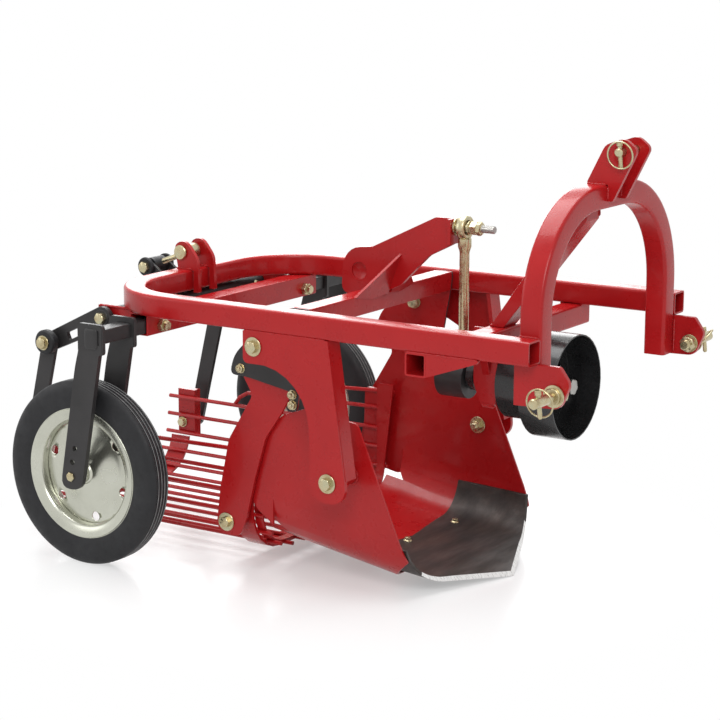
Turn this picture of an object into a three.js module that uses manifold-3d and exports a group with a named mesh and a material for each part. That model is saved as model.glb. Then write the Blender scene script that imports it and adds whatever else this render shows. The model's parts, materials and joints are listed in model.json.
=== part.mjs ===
// A single-row potato digger for a small tractor's three-point linkage. Millimetres, +Z up.
// +X is the way it travels and +Y is its left side. Inside the file x = 0 is the front end of the side rails
// and z = 0 the ground; the whole group is moved at the end, so that its origin is the middle of its footprint.
import * as THREE from 'three';
import { mergeVertices } from 'three/addons/utils/BufferGeometryUtils.js';
import Module from 'manifold-3d';

const wasm = await Module();
wasm.setup();

// ---- driving dimensions ----
const gap = 0.3; // between pieces that touch
const originX = 679.4; // from the front ends of the rails back to the middle of the footprint
const frame = { halfWidth: 366, top: 614, tube: 50, wall: 4, rearX: -1127, cornerRadius: 213 };
const railBottom = frame.top - frame.tube;
const railInside = frame.halfWidth - frame.tube;
const arch = { halfWidth: railInside - gap, bottom: 480, top: 892, shoulderRadius: 245 };
const frontBeam = { rearX: -286, frontX: -236 };
const mast = { pinX: 31, pinZ: 962, pinRadius: 9.5, earInside: 26, earThick: 10 };
const hitch = { pinX: 40, pinZ: 505, pinRadius: 10.8, plateThick: 12 };
const shaft = { z: 447, crankThrow: 12 };
const wheel = { x: -1076, y: 434, radius: 211, tyreHalf: 31, rimRadius: 146 };
const wheelBar = { x: -1005, z: 538.7, half: 20, socketHalf: 25 };
const leg = { innerY: 376, outerY: 484, thick: 12 };
const strut = { thick: 10, boltX: -476, boltZ: 256, pivotX: -667, pivotZ: 531 };
const trough = { halfWidth: 280, sheet: 5, cornerRadius: 105, slope: 9, tipX: -222 };
const arm = { inner: 286, thick: 8, lowX: -796, lowZ: 104 };
const sieve = { halfWidth: 271, sheet: 6, bottom: 26, cornerRadius: 105, rod: 5, pitch: 47, rodFrontX: -705 };
const hanger = { inner: 322, thick: 10, topX: -1274, topZ: 469, lowX: -1352, lowZ: 148 };
const rocker = { x: -1127, z: 537, eyeX: -1220, eyeZ: 609 };
const lever = { hubX: -631, hubZ: 650, eyeX: -360, eyeZ: 770, half: 6 };

// ---- materials ----
const paint = { colour: 0xa8191c, roughness: 0.35, metalness: 0.1 };
const black = { colour: 0x1d1d1f, roughness: 0.5, metalness: 0.2 };
const zincYellow = { colour: 0xc9a860, roughness: 0.35, metalness: 0.9 };
const zinc = { colour: 0xb9bcb6, roughness: 0.3, metalness: 0.9 };
const rubber = { colour: 0x1b1b1d, roughness: 0.8, metalness: 0 };
const plastic = { colour: 0x101012, roughness: 0.45, metalness: 0 };
const bareSteel = { colour: 0x5b534f, roughness: 0.45, metalness: 0.8 };

const digger = new THREE.Group();

function addNode(name, geometry, finish) {
  const { colour, roughness, metalness } = finish;
  const mesh = new THREE.Mesh(geometry, new THREE.MeshStandardMaterial({ color: colour, roughness, metalness }));
  mesh.name = name;
  digger.add(mesh);
}

// ---- shapes ----
// Points of an arc are added to a path about every 15 degrees.
function addArc(path, [u, v], radius, from, to) {
  const count = Math.max(2, Math.ceil(Math.abs(to - from) / 0.27));
  for (let step = 0; step <= count; step += 1) {
    const angle = from + (to - from) * step / count;
    const point = [u + radius * Math.cos(angle), v + radius * Math.sin(angle)];
    if (step === 0 && path.curves.length === 0 && path.currentPoint.lengthSq() === 0) path.moveTo(...point);
    else path.lineTo(...point);
  }
}

// An outline from corners [across, up, radius of the rounded corner]; a corner with no radius stays sharp.
// It always runs anticlockwise, so that a hole in it can run clockwise.
function outline(listed) {
  const path = new THREE.Shape();
  const turning = THREE.ShapeUtils.area(listed.map(([u, v]) => new THREE.Vector2(u, v)));
  const corners = turning < 0 ? [...listed].reverse() : listed;
  const count = corners.length;
  corners.forEach(([u, v, radius = 0], index) => {
    if (radius === 0) {
      if (index === 0) path.moveTo(u, v);
      else path.lineTo(u, v);
      return;
    }
    const corner = new THREE.Vector2(u, v);
    const [pu, pv] = corners[(index + count - 1) % count];
    const [nu, nv] = corners[(index + 1) % count];
    const toPrevious = new THREE.Vector2(pu, pv).sub(corner).normalize();
    const toNext = new THREE.Vector2(nu, nv).sub(corner).normalize();
    const opening = Math.acos(THREE.MathUtils.clamp(toPrevious.dot(toNext), -1, 1));
    const bisector = toPrevious.clone().add(toNext).normalize();
    const centre = corner.clone().addScaledVector(bisector, radius / Math.sin(opening / 2));
    const start = corner.clone().addScaledVector(toPrevious, radius / Math.tan(opening / 2)).sub(centre);
    const turn = (Math.PI - opening) * (toPrevious.cross(toNext) < 0 ? 1 : -1);
    addArc(path, [centre.x, centre.y], radius, start.angle(), start.angle() + turn);
  });
  path.closePath();
  return path;
}

function roundHole(shape, u, v, radius) {
  const holed = shape.clone();
  const hole = new THREE.Path();
  const count = 16;
  for (let step = 0; step < count; step += 1) {
    const angle = -2 * Math.PI * step / count;
    const point = [u + radius * Math.cos(angle), v + radius * Math.sin(angle)];
    if (step === 0) hole.moveTo(...point);
    else hole.lineTo(...point);
  }
  hole.closePath();
  holed.holes.push(hole);
  return holed;
}

const curveSteps = 4;

function extrude(shape, depth, steps = curveSteps) {
  return new THREE.ExtrudeGeometry(shape, { depth, bevelEnabled: false, curveSegments: steps });
}

// A side outline (x, z) carried along Y, from yLow to yHigh.
function alongY(shape, yLow, yHigh, steps) {
  const basis = new THREE.Matrix4().makeBasis(
    new THREE.Vector3(1, 0, 0), new THREE.Vector3(0, 0, 1), new THREE.Vector3(0, -1, 0));
  return extrude(shape, yHigh - yLow, steps).applyMatrix4(basis).translate(0, yHigh, 0);
}

// A front outline (y, z) carried along X, from xLow to xHigh.
function alongX(shape, xLow, xHigh, steps) {
  const basis = new THREE.Matrix4().makeBasis(
    new THREE.Vector3(0, 1, 0), new THREE.Vector3(0, 0, 1), new THREE.Vector3(1, 0, 0));
  return extrude(shape, xHigh - xLow, steps).applyMatrix4(basis).translate(xLow, 0, 0);
}

// A plan outline (x, y) carried up, from zLow to zHigh.
function alongZ(shape, zLow, zHigh, steps) {
  return extrude(shape, zHigh - zLow, steps).translate(0, 0, zLow);
}

function box(xLow, xHigh, yLow, yHigh, zLow, zHigh) {
  const geometry = new THREE.BoxGeometry(xHigh - xLow, yHigh - yLow, zHigh - zLow);
  return geometry.translate((xLow + xHigh) / 2, (yLow + yHigh) / 2, (zLow + zHigh) / 2);
}

// A turned piece about the Y or X axis, from a profile of [radius, distance along the axis] pairs.
function turned(profile, steps) {
  return new THREE.LatheGeometry(profile.map(([radius, along]) => new THREE.Vector2(radius, along)), steps);
}

function turnedY(profile, x, z, steps = 20) {
  return turned(profile, steps).translate(x, 0, z);
}

function turnedX(profile, y, z, steps = 20) {
  return turned(profile, steps).rotateZ(-Math.PI / 2).translate(0, y, z);
}

function rodY(radius, yLow, yHigh, x, z, steps) {
  return turnedY([[0, yLow], [radius, yLow], [radius, yHigh], [0, yHigh]], x, z, steps);
}

function rodX(radius, xLow, xHigh, y, z, steps) {
  return turnedX([[0, xLow], [radius, xLow], [radius, xHigh], [0, xHigh]], y, z, steps);
}

// A straight round rod between two points.
function rodBetween(from, to, radius, steps = 12) {
  const start = new THREE.Vector3(...from);
  const reach = new THREE.Vector3(...to).sub(start);
  const turn = new THREE.Quaternion().setFromUnitVectors(new THREE.Vector3(0, 1, 0), reach.clone().normalize());
  const length = reach.length();
  return turned([[0, 0], [radius, 0], [radius, length], [0, length]], steps).applyQuaternion(turn)
    .translate(...from);
}

// ---- joining and cutting ----
function solid(geometry) {
  const bare = geometry.clone();
  bare.deleteAttribute('normal');
  bare.deleteAttribute('uv');
  const merged = mergeVertices(bare, 1e-3);
  return new wasm.Manifold(new wasm.Mesh({
    numProp: 3,
    vertProperties: new Float32Array(merged.attributes.position.array),
    triVerts: new Uint32Array(merged.index.array),
  }));
}

function toGeometry(body) {
  const mesh = body.getMesh();
  const geometry = new THREE.BufferGeometry();
  geometry.setAttribute('position', new THREE.BufferAttribute(new Float32Array(mesh.vertProperties), 3));
  geometry.setIndex(new THREE.BufferAttribute(new Uint32Array(mesh.triVerts), 1));
  geometry.computeVertexNormals();
  return geometry;
}

function joined(...geometries) {
  return toGeometry(geometries.map(solid).reduce((whole, piece) => whole.add(piece)));
}

function cut(geometry, ...cutters) {
  return toGeometry(cutters.map(solid).reduce((whole, piece) => whole.subtract(piece), solid(geometry)));
}

function shared(geometry, other) {
  return toGeometry(solid(geometry).intersect(solid(other)));
}

// A flat bar around two points [across, up, end radius], as an outline.
function barOutline([u0, v0, r0], [u1, v1, r1]) {
  const angle = Math.atan2(v1 - v0, u1 - u0);
  const lean = Math.asin((r0 - r1) / Math.hypot(u1 - u0, v1 - v0));
  const shape = new THREE.Shape();
  shape.absarc(u0, v0, r0, angle + Math.PI / 2 - lean, angle + 3 * Math.PI / 2 + lean, false);
  shape.absarc(u1, v1, r1, angle - Math.PI / 2 + lean, angle + Math.PI / 2 - lean, false);
  shape.closePath();
  return shape;
}

const sides = [{ name: 'right', sign: -1 }, { name: 'left', sign: 1 }];

// The y range from inner to outer distance off the centre line, on the side that sign gives.
function span(sign, inner, outer) {
  return sign < 0 ? [-outer, -inner] : [inner, outer];
}

// ---- main frame: one square tube bent into a U in plan, open at its two front ends ----
function railPlan(inset, frontX) {
  const { halfWidth, tube, rearX, cornerRadius } = frame;
  const outer = cornerRadius - inset;
  const inner = cornerRadius - tube + inset;
  const out = halfWidth - inset;
  const inn = halfWidth - tube + inset;
  const bendX = rearX + cornerRadius;
  const bendY = halfWidth - cornerRadius;
  const plan = new THREE.Shape();
  plan.moveTo(frontX, -out);
  plan.absarc(bendX, -bendY, outer, -Math.PI / 2, -Math.PI, true);
  plan.absarc(bendX, bendY, outer, Math.PI, Math.PI / 2, true);
  plan.lineTo(frontX, out);
  plan.lineTo(frontX, inn);
  plan.absarc(bendX, bendY, inner, Math.PI / 2, Math.PI, false);
  plan.absarc(bendX, -bendY, inner, Math.PI, 3 * Math.PI / 2, false);
  plan.lineTo(frontX, -inn);
  plan.closePath();
  return plan;
}

function addMainFrame() {
  const cornerSteps = 7;
  const outside = alongZ(railPlan(0, 0), railBottom, frame.top, cornerSteps);
  const bore = alongZ(railPlan(frame.wall, 1), railBottom + frame.wall, frame.top - frame.wall, cornerSteps);
  const ear = outline([[-1124, frame.top - 1], [-1136, 672, 16], [-1102, 684, 20], [-1068, 640, 10], [-1063, 560, 3],
    [-1078, 560], [-1078, frame.top - 1]]);
  const ears = sides.map(({ sign }) => alongY(roundHole(ear, -1115, 653, 8.5), ...span(sign, 26, 36)));
  addNode('main_frame', joined(cut(outside, bore), ...ears), paint);
}

// ---- hitch arch: the same tube as an upright inverted U between the rails ----
function archFront(inset, bottom) {
  const { halfWidth, top, shoulderRadius } = arch;
  const out = halfWidth - inset;
  const inn = halfWidth - frame.tube + inset;
  const bendY = halfWidth - shoulderRadius;
  const bendZ = top - shoulderRadius;
  const front = new THREE.Shape();
  front.moveTo(-out, bottom);
  front.lineTo(-inn, bottom);
  front.absarc(-bendY, bendZ, shoulderRadius - frame.tube + inset, Math.PI, Math.PI / 2, true);
  front.absarc(bendY, bendZ, shoulderRadius - frame.tube + inset, Math.PI / 2, 0, true);
  front.lineTo(inn, bottom);
  front.lineTo(out, bottom);
  front.absarc(bendY, bendZ, shoulderRadius - inset, 0, Math.PI / 2, false);
  front.absarc(-bendY, bendZ, shoulderRadius - inset, Math.PI / 2, Math.PI, false);
  front.closePath();
  return front;
}

function addArch() {
  const cornerSteps = 7;
  const outside = alongX(archFront(0, arch.bottom), -frame.tube, 0, cornerSteps);
  const bore = alongX(archFront(frame.wall, arch.bottom - 1), frame.wall - frame.tube, -frame.wall, cornerSteps);
  addNode('hitch_arch', cut(outside, bore), paint);
}

// ---- top link bracket: two ears that lean forward from the crown, and their pin ----
function addMast() {
  const { pinX, pinZ, pinRadius, earInside, earThick } = mast;
  const crown = arch.top + gap;
  for (const { name, sign } of sides) {
    const ear = roundHole(outline([[-50, crown, 4], [-8, 975, 26], [36, 991, 24], [66, 967, 14], [12, 858, 6],
      [gap, 858], [gap, crown]]), pinX, pinZ, pinRadius + gap);
    addNode(`top_link_ear_${name}`, alongY(ear, ...span(sign, earInside, earInside + earThick)), paint);
  }
  const pin = [[0, -80], [pinRadius, -80], [pinRadius, 38], [15, 38], [15, 46], [0, 46]];
  addNode('top_link_pin', turnedY(pin, pinX, pinZ), zincYellow);
}

function addMastBrace() {
  const halfWidth = 30;
  const beamTop = railBottom;
  const brace = outline([[-276, beamTop], [-244, beamTop], [-50 - gap, 812], [-50 - gap, 866], [-66, 866]]);
  addNode('mast_brace', alongY(brace, -halfWidth, halfWidth), paint);
}

// ---- lower hitch: a plate on each leg of the arch, with a stud that carries the tractor's lower arm ----
function addLowerHitch() {
  const { pinX, pinZ, pinRadius, plateThick } = hitch;
  for (const { name, sign } of sides) {
    const inner = arch.halfWidth + gap;
    const plate = roundHole(outline([[-53, railBottom - gap], [50, railBottom - gap, 8], [74, 530, 20],
      [52, 478, 24], [-53, 475]]), pinX, pinZ, pinRadius + gap);
    addNode(`lower_hitch_plate_${name}`, alongY(plate, ...span(sign, inner, inner + plateThick)), paint);
    const stud = [[0, 282], [pinRadius, 282], [pinRadius, 296], [17, 296], [17, inner - gap],
      [pinRadius, inner - gap], [pinRadius, inner + plateThick + gap], [18, inner + plateThick + gap],
      [18, inner + 26], [pinRadius, inner + 26], [pinRadius, 418], [9, 421], [0, 421]];
    const profile = stud.map(([radius, along]) => [radius, sign * along]);
    addNode(`lower_hitch_pin_${name}`, turnedY(sign < 0 ? profile.reverse() : profile, pinX, pinZ), zincYellow);
  }
}

// ---- cross members under and between the rails ----
function addCrossMembers() {
  const { halfWidth, tube, wall } = frame;
  const top = railBottom - gap;
  const beam = box(frontBeam.rearX, frontBeam.frontX, -halfWidth, halfWidth, top - tube, top);
  const bore = box(frontBeam.rearX + wall, frontBeam.frontX - wall, -halfWidth - 1, halfWidth + 1,
    top - tube + wall, top - wall);
  const gusset = outline([[frontBeam.frontX - 1, top], [-113, top], [-118, top - 7], [frontBeam.frontX - 1, top - 49]]);
  const [right] = sides.filter(({ name }) => name === 'right'); // only the right end carries a gusset
  const plate = alongY(gusset, ...span(right.sign, halfWidth - 8, halfWidth));
  addNode('front_beam', joined(cut(beam, bore), plate), paint);
}

// ---- struts that carry the share, welded under the rails ----
function strutOutline() {
  const top = railBottom - gap;
  const { boltX, boltZ } = strut;
  return outline([[-695, top], [-695, 493, 12], [-640, 493, 30], [-530, 480, 130], [-520, 300, 30],
    [-526, 212, 42], [-428, 212, 36], [boltX + 43, boltZ + 9], [-476, top]]);
}

function addStruts() {
  const top = railBottom - gap;
  const { thick, boltX, boltZ, pivotX, pivotZ } = strut;
  const flange = outline([[-476, top], [-432, 265], [-442, 264], [-486, top]]);
  for (const { name, sign } of sides) {
    const face = roundHole(roundHole(strutOutline(), boltX, boltZ, 9), pivotX, pivotZ, 9);
    const plate = alongY(face, ...span(sign, frame.halfWidth - thick, frame.halfWidth));
    const edge = alongY(flange, ...span(sign, frame.halfWidth - 44, frame.halfWidth - thick / 2));
    addNode(`strut_${name}`, joined(plate, edge), paint);
    const inside = trough.halfWidth - trough.sheet - gap;
    const bolt = [[0, inside - 12], [14, inside - 12], [14, inside], [8, inside], [8, 366 + gap], [18, 366 + gap],
      [18, 370], [12, 370], [12, 380], [0, 380]].map(([radius, along]) => [radius, sign * along]);
    addNode(`share_bolt_${name}`, turnedY(sign < 0 ? bolt.reverse() : bolt, boltX, boltZ), zincYellow);
  }
}

// A turned piece whose profile runs the other way round has its faces turned to point out.
function flipped(geometry) {
  const index = geometry.index.array;
  for (let corner = 0; corner < index.length; corner += 3) {
    [index[corner], index[corner + 1]] = [index[corner + 1], index[corner]];
  }
  return geometry;
}

// ---- trough: a sheet U with tall sides that stands behind the share ----
function uSection(halfWidth, bottom, top, radius, thick) {
  const section = outline([[-halfWidth, top], [-halfWidth, bottom, radius], [halfWidth, bottom, radius],
    [halfWidth, top], [halfWidth - thick, top], [halfWidth - thick, bottom + thick, radius - thick],
    [thick - halfWidth, bottom + thick, radius - thick], [thick - halfWidth, top]]);
  return section;
}

// A U of sheet that runs back from the share's tip, rising with the slope; lift is its height above the share's sole.
function slopedU(halfWidth, lift, top, radius, thick) {
  return alongX(uSection(halfWidth, lift, top, radius, thick), -600, 200, 8)
    .rotateY(THREE.MathUtils.degToRad(trough.slope)).translate(trough.tipX, 0, 0);
}

function addTrough() {
  const { halfWidth, sheet, cornerRadius } = trough;
  const shell = slopedU(halfWidth, -sheet - gap, 500, cornerRadius, sheet);
  const side = outline([[-640, 20], [-640, 70], [-682, 118, 20], [-686, 178, 6], [-734, 178, 4],
    [-734, 292, 44], [-650, 366, 30], [-584, 390, 20], [-457, 370, 14], [-332, 80, 4], [-410, 16]]);
  const spacers = sides.map(({ sign }) => rodY(20, ...span(sign, halfWidth - 2, frame.halfWidth - strut.thick - gap),
    strut.boltX, strut.boltZ));
  const hole = rodY(9, -400, 400, strut.boltX, strut.boltZ, 12);
  const tongue = shared(shell, box(-712, -630, -245, 245, 0, 200));
  addNode('trough', cut(joined(shared(shell, alongY(side, -400, 400)), tongue, ...spacers), hole), paint);
}

function addShare() {
  const { tipX } = trough;
  const thick = 8;
  const halfWidth = trough.halfWidth - trough.sheet - gap;
  const radius = trough.cornerRadius - trough.sheet - gap;
  const shell = slopedU(halfWidth, 0, 260, radius, thick);
  const plan = outline([[tipX, 0], [-329, 262], [-329, 300], [-524, 300], [-505, 126], [-486, 0],
    [-505, -126], [-524, -300], [-329, -300], [-329, -262]]);
  const side = outline([[-540, -20], [-540, 117], [-524, 116], [-331, 105], [-200, 98], [-200, -20]]);
  addNode('share', shared(shared(shell, alongZ(plan, -50, 400, 10)), alongY(side, -400, 400)), bareSteel);
}

// ---- power take-off shaft: bearing, guard, shaft with crank ----
function addShaft() {
  const { z } = shaft;
  const housing = turnedX([[22, -300], [45, -300], [45, -238], [22, -238], [22, -300]], 0, z, 28);
  addNode('shaft_bearing', housing, paint);
  const guard = turnedX([[46, -233], [84, -233], [84, -160], [115, -160], [115, -78], [112, -78], [112, -157],
    [81, -157], [81, -230], [46, -230], [46, -233]], 0, z, 36);
  addNode('shaft_guard', guard, plastic);
  const bracketTop = railBottom - gap - frame.tube - gap;
  const bracket = outline([[-72, bracketTop], [72, bracketTop], [48, z + 6], [-48, z + 6]]);
  const between = outline([[-50, bracketTop + 1], [50, bracketTop + 1], [27, z + 54], [-27, z + 54]]);
  addNode('bearing_bracket', cut(alongX(bracket, -282, -262), alongX(between, -290, -250),
    rodX(45 + gap, -310, -230, 0, z, 28)), paint);
  const spindle = turnedX([[0, -334], [36, -334], [36, -314], [20, -314], [20, -150], [17, -150], [17, -84], [0, -84]],
    0, z, 24);
  addNode('crank_shaft', spindle, zinc);
}

// ---- rocker: a cross tube that swings between the rails, with a lever on its middle and an arm at each end ----
function addRocker() {
  const { hubX, hubZ, eyeX, eyeZ, half } = lever;
  const { pivotX, pivotZ } = strut;
  const { inner, thick, lowX, lowZ } = arm;
  const plateInner = inner + thick + gap;
  const tube = box(-612, -566, -plateInner, plateInner, 568, 612);
  const tubeBore = box(-608, -570, -plateInner - 1, plateInner + 1, 572, 608);
  const plate = outline([[-672, 700, 50], [-596, 708, 30], [-430, 788, 20], [-388, 788, 4], [-388, 730, 4],
    [-448, 700, 40], [-520, 628, 30], [-556, 611], [-616, 611], [-680, 584, 20]]);
  const face = box(-391, -383, -24, 24, 732, 788);
  const lug = alongY(roundHole(plate, hubX, hubZ, 20), -half, half);
  addNode('rocker_lever', joined(lug, face), paint);
  addNode('rocker_tube', cut(tube, tubeBore, lug, box(-620, -556, -half - gap, half + gap, 600, 640)), paint);
  const stud = turnedX([[0, -382.7], [15, -382.7], [15, -374], [8, -374], [8, -284], [0, -284]], 0, eyeZ);
  addNode('lever_stud', stud, zincYellow);
  for (const { name, sign } of sides) {
    const flange = outline([[-566, 590, 10], [-592, 440, 40], [-600, 384, 8], [-618, 384, 8], [-620, 427, 4],
      [-735, 446, 16], [-778, 446, 18], [-766, 492, 22], [-690, 566, 30], [-620, 612, 20], [-566, 612, 4]]);
    addNode(`arm_flange_${name}`, alongY(roundHole(flange, pivotX, pivotZ, 12),
      ...span(sign, plateInner + gap, plateInner + thick)), black);
    const strap = roundHole(outline([[-768, 478, 18], [-606, 440, 8], [-646, 372, 20], [-688, 312, 40],
      [-718, 214, 60], [-742, 118, 30], [-760, 76, 20], [-826, 74, 26], [-813, 180, 60], [-788, 296, 50],
      [-722, 404, 20]]), lowX, lowZ, 9);
    addNode(`swing_arm_${name}`, alongY(strap, ...span(sign, inner, inner + thick)), paint);
    const lowBolt = [[0, 258], [8.7, 258], [8.7, inner + thick + gap], [15, inner + thick + gap],
      [15, inner + thick + 12], [0, inner + thick + 12]].map(([radius, along]) => [radius, sign * along]);
    addNode(`sieve_bolt_${name}`, turnedY(sign < 0 ? lowBolt.reverse() : lowBolt, lowX, lowZ, 16), zincYellow);
    const pivot = [[0, 280], [16, 280], [16, plateInner - gap], [11, plateInner - gap], [11, 346],
      [8.7, 346], [8.7, 366 + gap], [18, 366 + gap], [18, 370], [12, 370], [12, 380], [0, 380]]
      .map(([radius, along]) => [radius, sign * along]);
    addNode(`arm_pivot_${name}`, turnedY(sign < 0 ? pivot.reverse() : pivot, pivotX, pivotZ), zincYellow);
  }
  const eye = turnedX([[10, eyeX - 10], [21, eyeX - 10], [21, eyeX + 10], [10, eyeX + 10], [10, eyeX - 10]], 0,
    eyeZ, 24);
  const crankZ = shaft.z - shaft.crankThrow;
  addNode('connecting_rod', joined(eye, rodBetween([eyeX, 0, eyeZ - 17], [eyeX, 0, crankZ + 36], 10)), zincYellow);
  const end = rodX(45, -408, -339, 0, crankZ, 28);
  addNode('rod_big_end', cut(end, rodBetween([eyeX, 0, crankZ + 60], [eyeX, 0, crankZ + 35], 10.3)), black);
}

// ---- sieve: round rods that run back inside a front band, with a second band near their ends ----
// Each rod's place [across, up, number from the middle], one pitch apart along the inside of the bands.
function rodPlaces() {
  const { halfWidth, sheet, bottom, cornerRadius, rod, pitch } = sieve;
  const reach = halfWidth - sheet - rod + 1;
  const radius = cornerRadius - sheet - rod + 1;
  const low = bottom + sheet + rod - 1;
  const bend = radius * Math.PI / 2;
  const flat = reach - radius;
  const places = [];
  for (const { sign } of sides) {
    for (let number = 0; number < 9; number += 1) {
      const along = pitch * (number + 0.5);
      const angle = THREE.MathUtils.clamp((along - flat) / radius, 0, Math.PI / 2);
      const y = Math.min(along, flat) + radius * Math.sin(angle);
      const z = low + radius * (1 - Math.cos(angle)) + Math.max(0, along - flat - bend);
      places.push([sign * y, z, number]);
    }
  }
  return places;
}

// A round rod bent through a list of points in one upright plane beside the sieve: [along, up].
function guardRod(y, points) {
  const pieces = points.slice(1).map(([x, z], index) => {
    const [px, pz] = points[index];
    return rodBetween([px, y, pz], [x, y, z], sieve.rod, 8);
  });
  const knuckles = points.slice(1, -1).map(([x, z]) => rodY(sieve.rod, y - 3, y + 3, x, z, 8));
  return [...pieces, ...knuckles];
}

function addSieve() {
  const { halfWidth, sheet, bottom, cornerRadius, rod, rodFrontX } = sieve;
  const { lowX, lowZ } = arm;
  const band = alongX(uSection(halfWidth, bottom, 320, cornerRadius, sheet), -840, -690, 8);
  const bandSide = outline([[-792, 10], [-792, 60, 8], [-822, 84, 20], [-822, 124, 20], [-792, 150, 8], [-788, 312, 10],
    [-702, 312, 6], [-731, 248, 60], [-741, 165, 60], [-741, 10]]);
  const bosses = sides.map(({ sign }) => rodY(22.5, ...span(sign, halfWidth - 2, arm.inner - 2 * gap), lowX, lowZ));
  const hole = rodY(9.2, -400, 400, lowX, lowZ, 16);
  const rods = rodPlaces().map(([y, z, number]) => rodX(rod, -1430 + 5.2 * number,
    rodFrontX - 12 * Math.max(0, number - 5), y, z, 8));
  const reach = halfWidth - sheet - rod + 1;
  const guards = sides.map(({ sign }) => guardRod(sign * reach, [[-728, 267], [-1010, 261], [-1139, 252],
    [-1164, 238], [-1178, 220]]));
  const extra = guardRod(reach, [[-728, 309], [-900, 300], [-1010, 286], [-1050, 262]]);
  const liner = 4;
  const linerOut = reach - rod + 1;
  const linerBottom = bottom + sheet + 2 * rod - 2;
  const lip = shared(alongX(uSection(linerOut, linerBottom, 400, cornerRadius - sheet - 2 * rod + 2, liner), -800, -600, 8),
    alongY(outline([[-746, 0], [-746, 328, 8], [-700, 328], [-724, 128], [-724, 0]]), -400, 400));
  const rearBand = shared(alongX(uSection(halfWidth, bottom, 180, cornerRadius, sheet), -1386, -1331, 8),
    box(-1400, -1320, -400, 400, 0, 112));
  addNode('sieve_grate', joined(cut(joined(shared(band, alongY(bandSide, -400, 400)), ...bosses), hole), ...rods,
    ...guards.flat(), ...extra, lip, rearBand), paint);
  const inner = reach + rod + gap;
  const outer = hanger.inner - 6;
  const lipWidth = 24;
  for (const { name, sign } of sides) {
    const channel = joined(box(-1366, -1312, ...span(sign, inner, inner + 6), 114, 236),
      box(-1318, -1312, ...span(sign, inner, inner + lipWidth), 114, 236),
      box(-1366, -1312, ...span(sign, inner, inner + lipWidth), 230, 236),
      rodY(16, ...span(sign, inner, outer), hanger.lowX, hanger.lowZ, 16),
      rodY(7, ...span(sign, inner, hanger.inner + hanger.thick + 2), hanger.lowX, hanger.lowZ, 12));
    addNode(`sieve_bracket_${name}`, channel, paint);
  }
}

// ---- hangers at the rear, and the rocker shaft on the frame that sets their height ----
function addHangers() {
  const { inner, thick, topX, topZ, lowX, lowZ } = hanger;
  for (const { name, sign } of sides) {
    const bar = roundHole(roundHole(barOutline([topX, topZ, 21], [lowX, lowZ, 20]), topX, topZ, 12),
      lowX, lowZ, 10);
    addNode(`hanger_${name}`, alongY(bar, ...span(sign, inner, inner + thick)), black);
    const bracket = outline([[rocker.x - 24, rocker.z - 26, 22], [rocker.x + 40, rocker.z - 26, 22],
      [rocker.x + 87, railBottom - gap], [rocker.x - 24, railBottom - gap]]);
    addNode(`rocker_bracket_${name}`,
      alongY(roundHole(bracket, rocker.x, rocker.z, 20.9), ...span(sign, 290, 300)), paint);
  }
}

function addRearRocker() {
  const yoke = barOutline([rocker.x, rocker.z, 26], [hanger.topX, hanger.topZ, 22]);
  const pieces = [rodY(20, -350, 350, rocker.x, rocker.z, 20)];
  for (const { sign } of sides) {
    pieces.push(alongY(yoke, ...span(sign, 306, 314)));
    pieces.push(alongY(yoke, ...span(sign, 340, 348)));
    pieces.push(rodY(11, ...span(sign, 310, 344), hanger.topX, hanger.topZ, 16));
  }
  const centre = barOutline([rocker.x, rocker.z, 20.4], [rocker.eyeX, rocker.eyeZ, 16]);
  pieces.push(alongY(centre, -34, -26), alongY(centre, 26, 34));
  addNode('rear_rocker', joined(...pieces), black);
}

function addRearClevis() {
  addNode('rear_ear_bolt', turnedY([[0, -42], [14, -42], [14, -37], [8, -37], [8, 48], [0, 48]], -1115, 653),
    zincYellow);
  const eye = turnedY([[8.3, -16], [17, -16], [17, 16], [8.3, 16], [8.3, -16]], -1115, 653);
  const rod = rodBetween([-1115 - 15, 0, 653 - 7], [rocker.eyeX + 24, 0, rocker.eyeZ + 11], 7);
  addNode('rocker_adjuster', joined(eye, rod), zincYellow);
  const bush = turnedY([[8, -24], [20, -24], [20, 24], [8, 24], [8, -24]], rocker.eyeX, rocker.eyeZ);
  addNode('adjuster_bush', cut(bush, rodBetween([-1115, 0, 653], [rocker.eyeX + 18, 0, rocker.eyeZ + 8], 7.3)),
    rubber);
}

// ---- gauge wheels: a cross tube under the frame, bars that slide in it, two legs each, and the wheels ----
function addWheelCarriers() {
  const { x, z, half, socketHalf } = wheelBar;
  const top = railBottom - gap;
  const bore = box(x - half - 1, x + half + 1, -340, 340, top - 46, top - 4);
  addNode('wheel_socket', cut(box(x - socketHalf, x + socketHalf, -336, 336, top - 50, top), bore), paint);
  for (const { name, sign } of sides) {
    addNode(`wheel_bar_${name}`, box(x - half, x + half, ...span(sign, 250, 500), z - half, z + half), black);
    for (const [place, inner] of [['inner', leg.innerY], ['outer', leg.outerY]]) {
      const side = outline([[-1045, 563, 6], [-977, 563, 6], [-977, 500, 2], [-988, 496, 2], [-1046, 182, 26],
        [-1106, 182, 26], [-1057, 462, 20], [-1045, 505, 8]]);
      const plate = alongY(roundHole(side, wheel.x, wheel.radius, 10.3), ...span(sign, inner, inner + leg.thick));
      const slot = box(x - half - gap, x + half + gap, ...span(sign, inner - 1, inner + leg.thick + 1),
        z - half - gap, z + half + gap);
      addNode(`${place}_leg_${name}`, cut(plate, slot), black);
    }
    const axle = [[0, 368], [10, 368], [10, 500], [0, 500]].map(([radius, along]) => [radius, sign * along]);
    addNode(`axle_${name}`, turnedY(sign < 0 ? axle.reverse() : axle, wheel.x, wheel.radius), zincYellow);
  }
}

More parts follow.
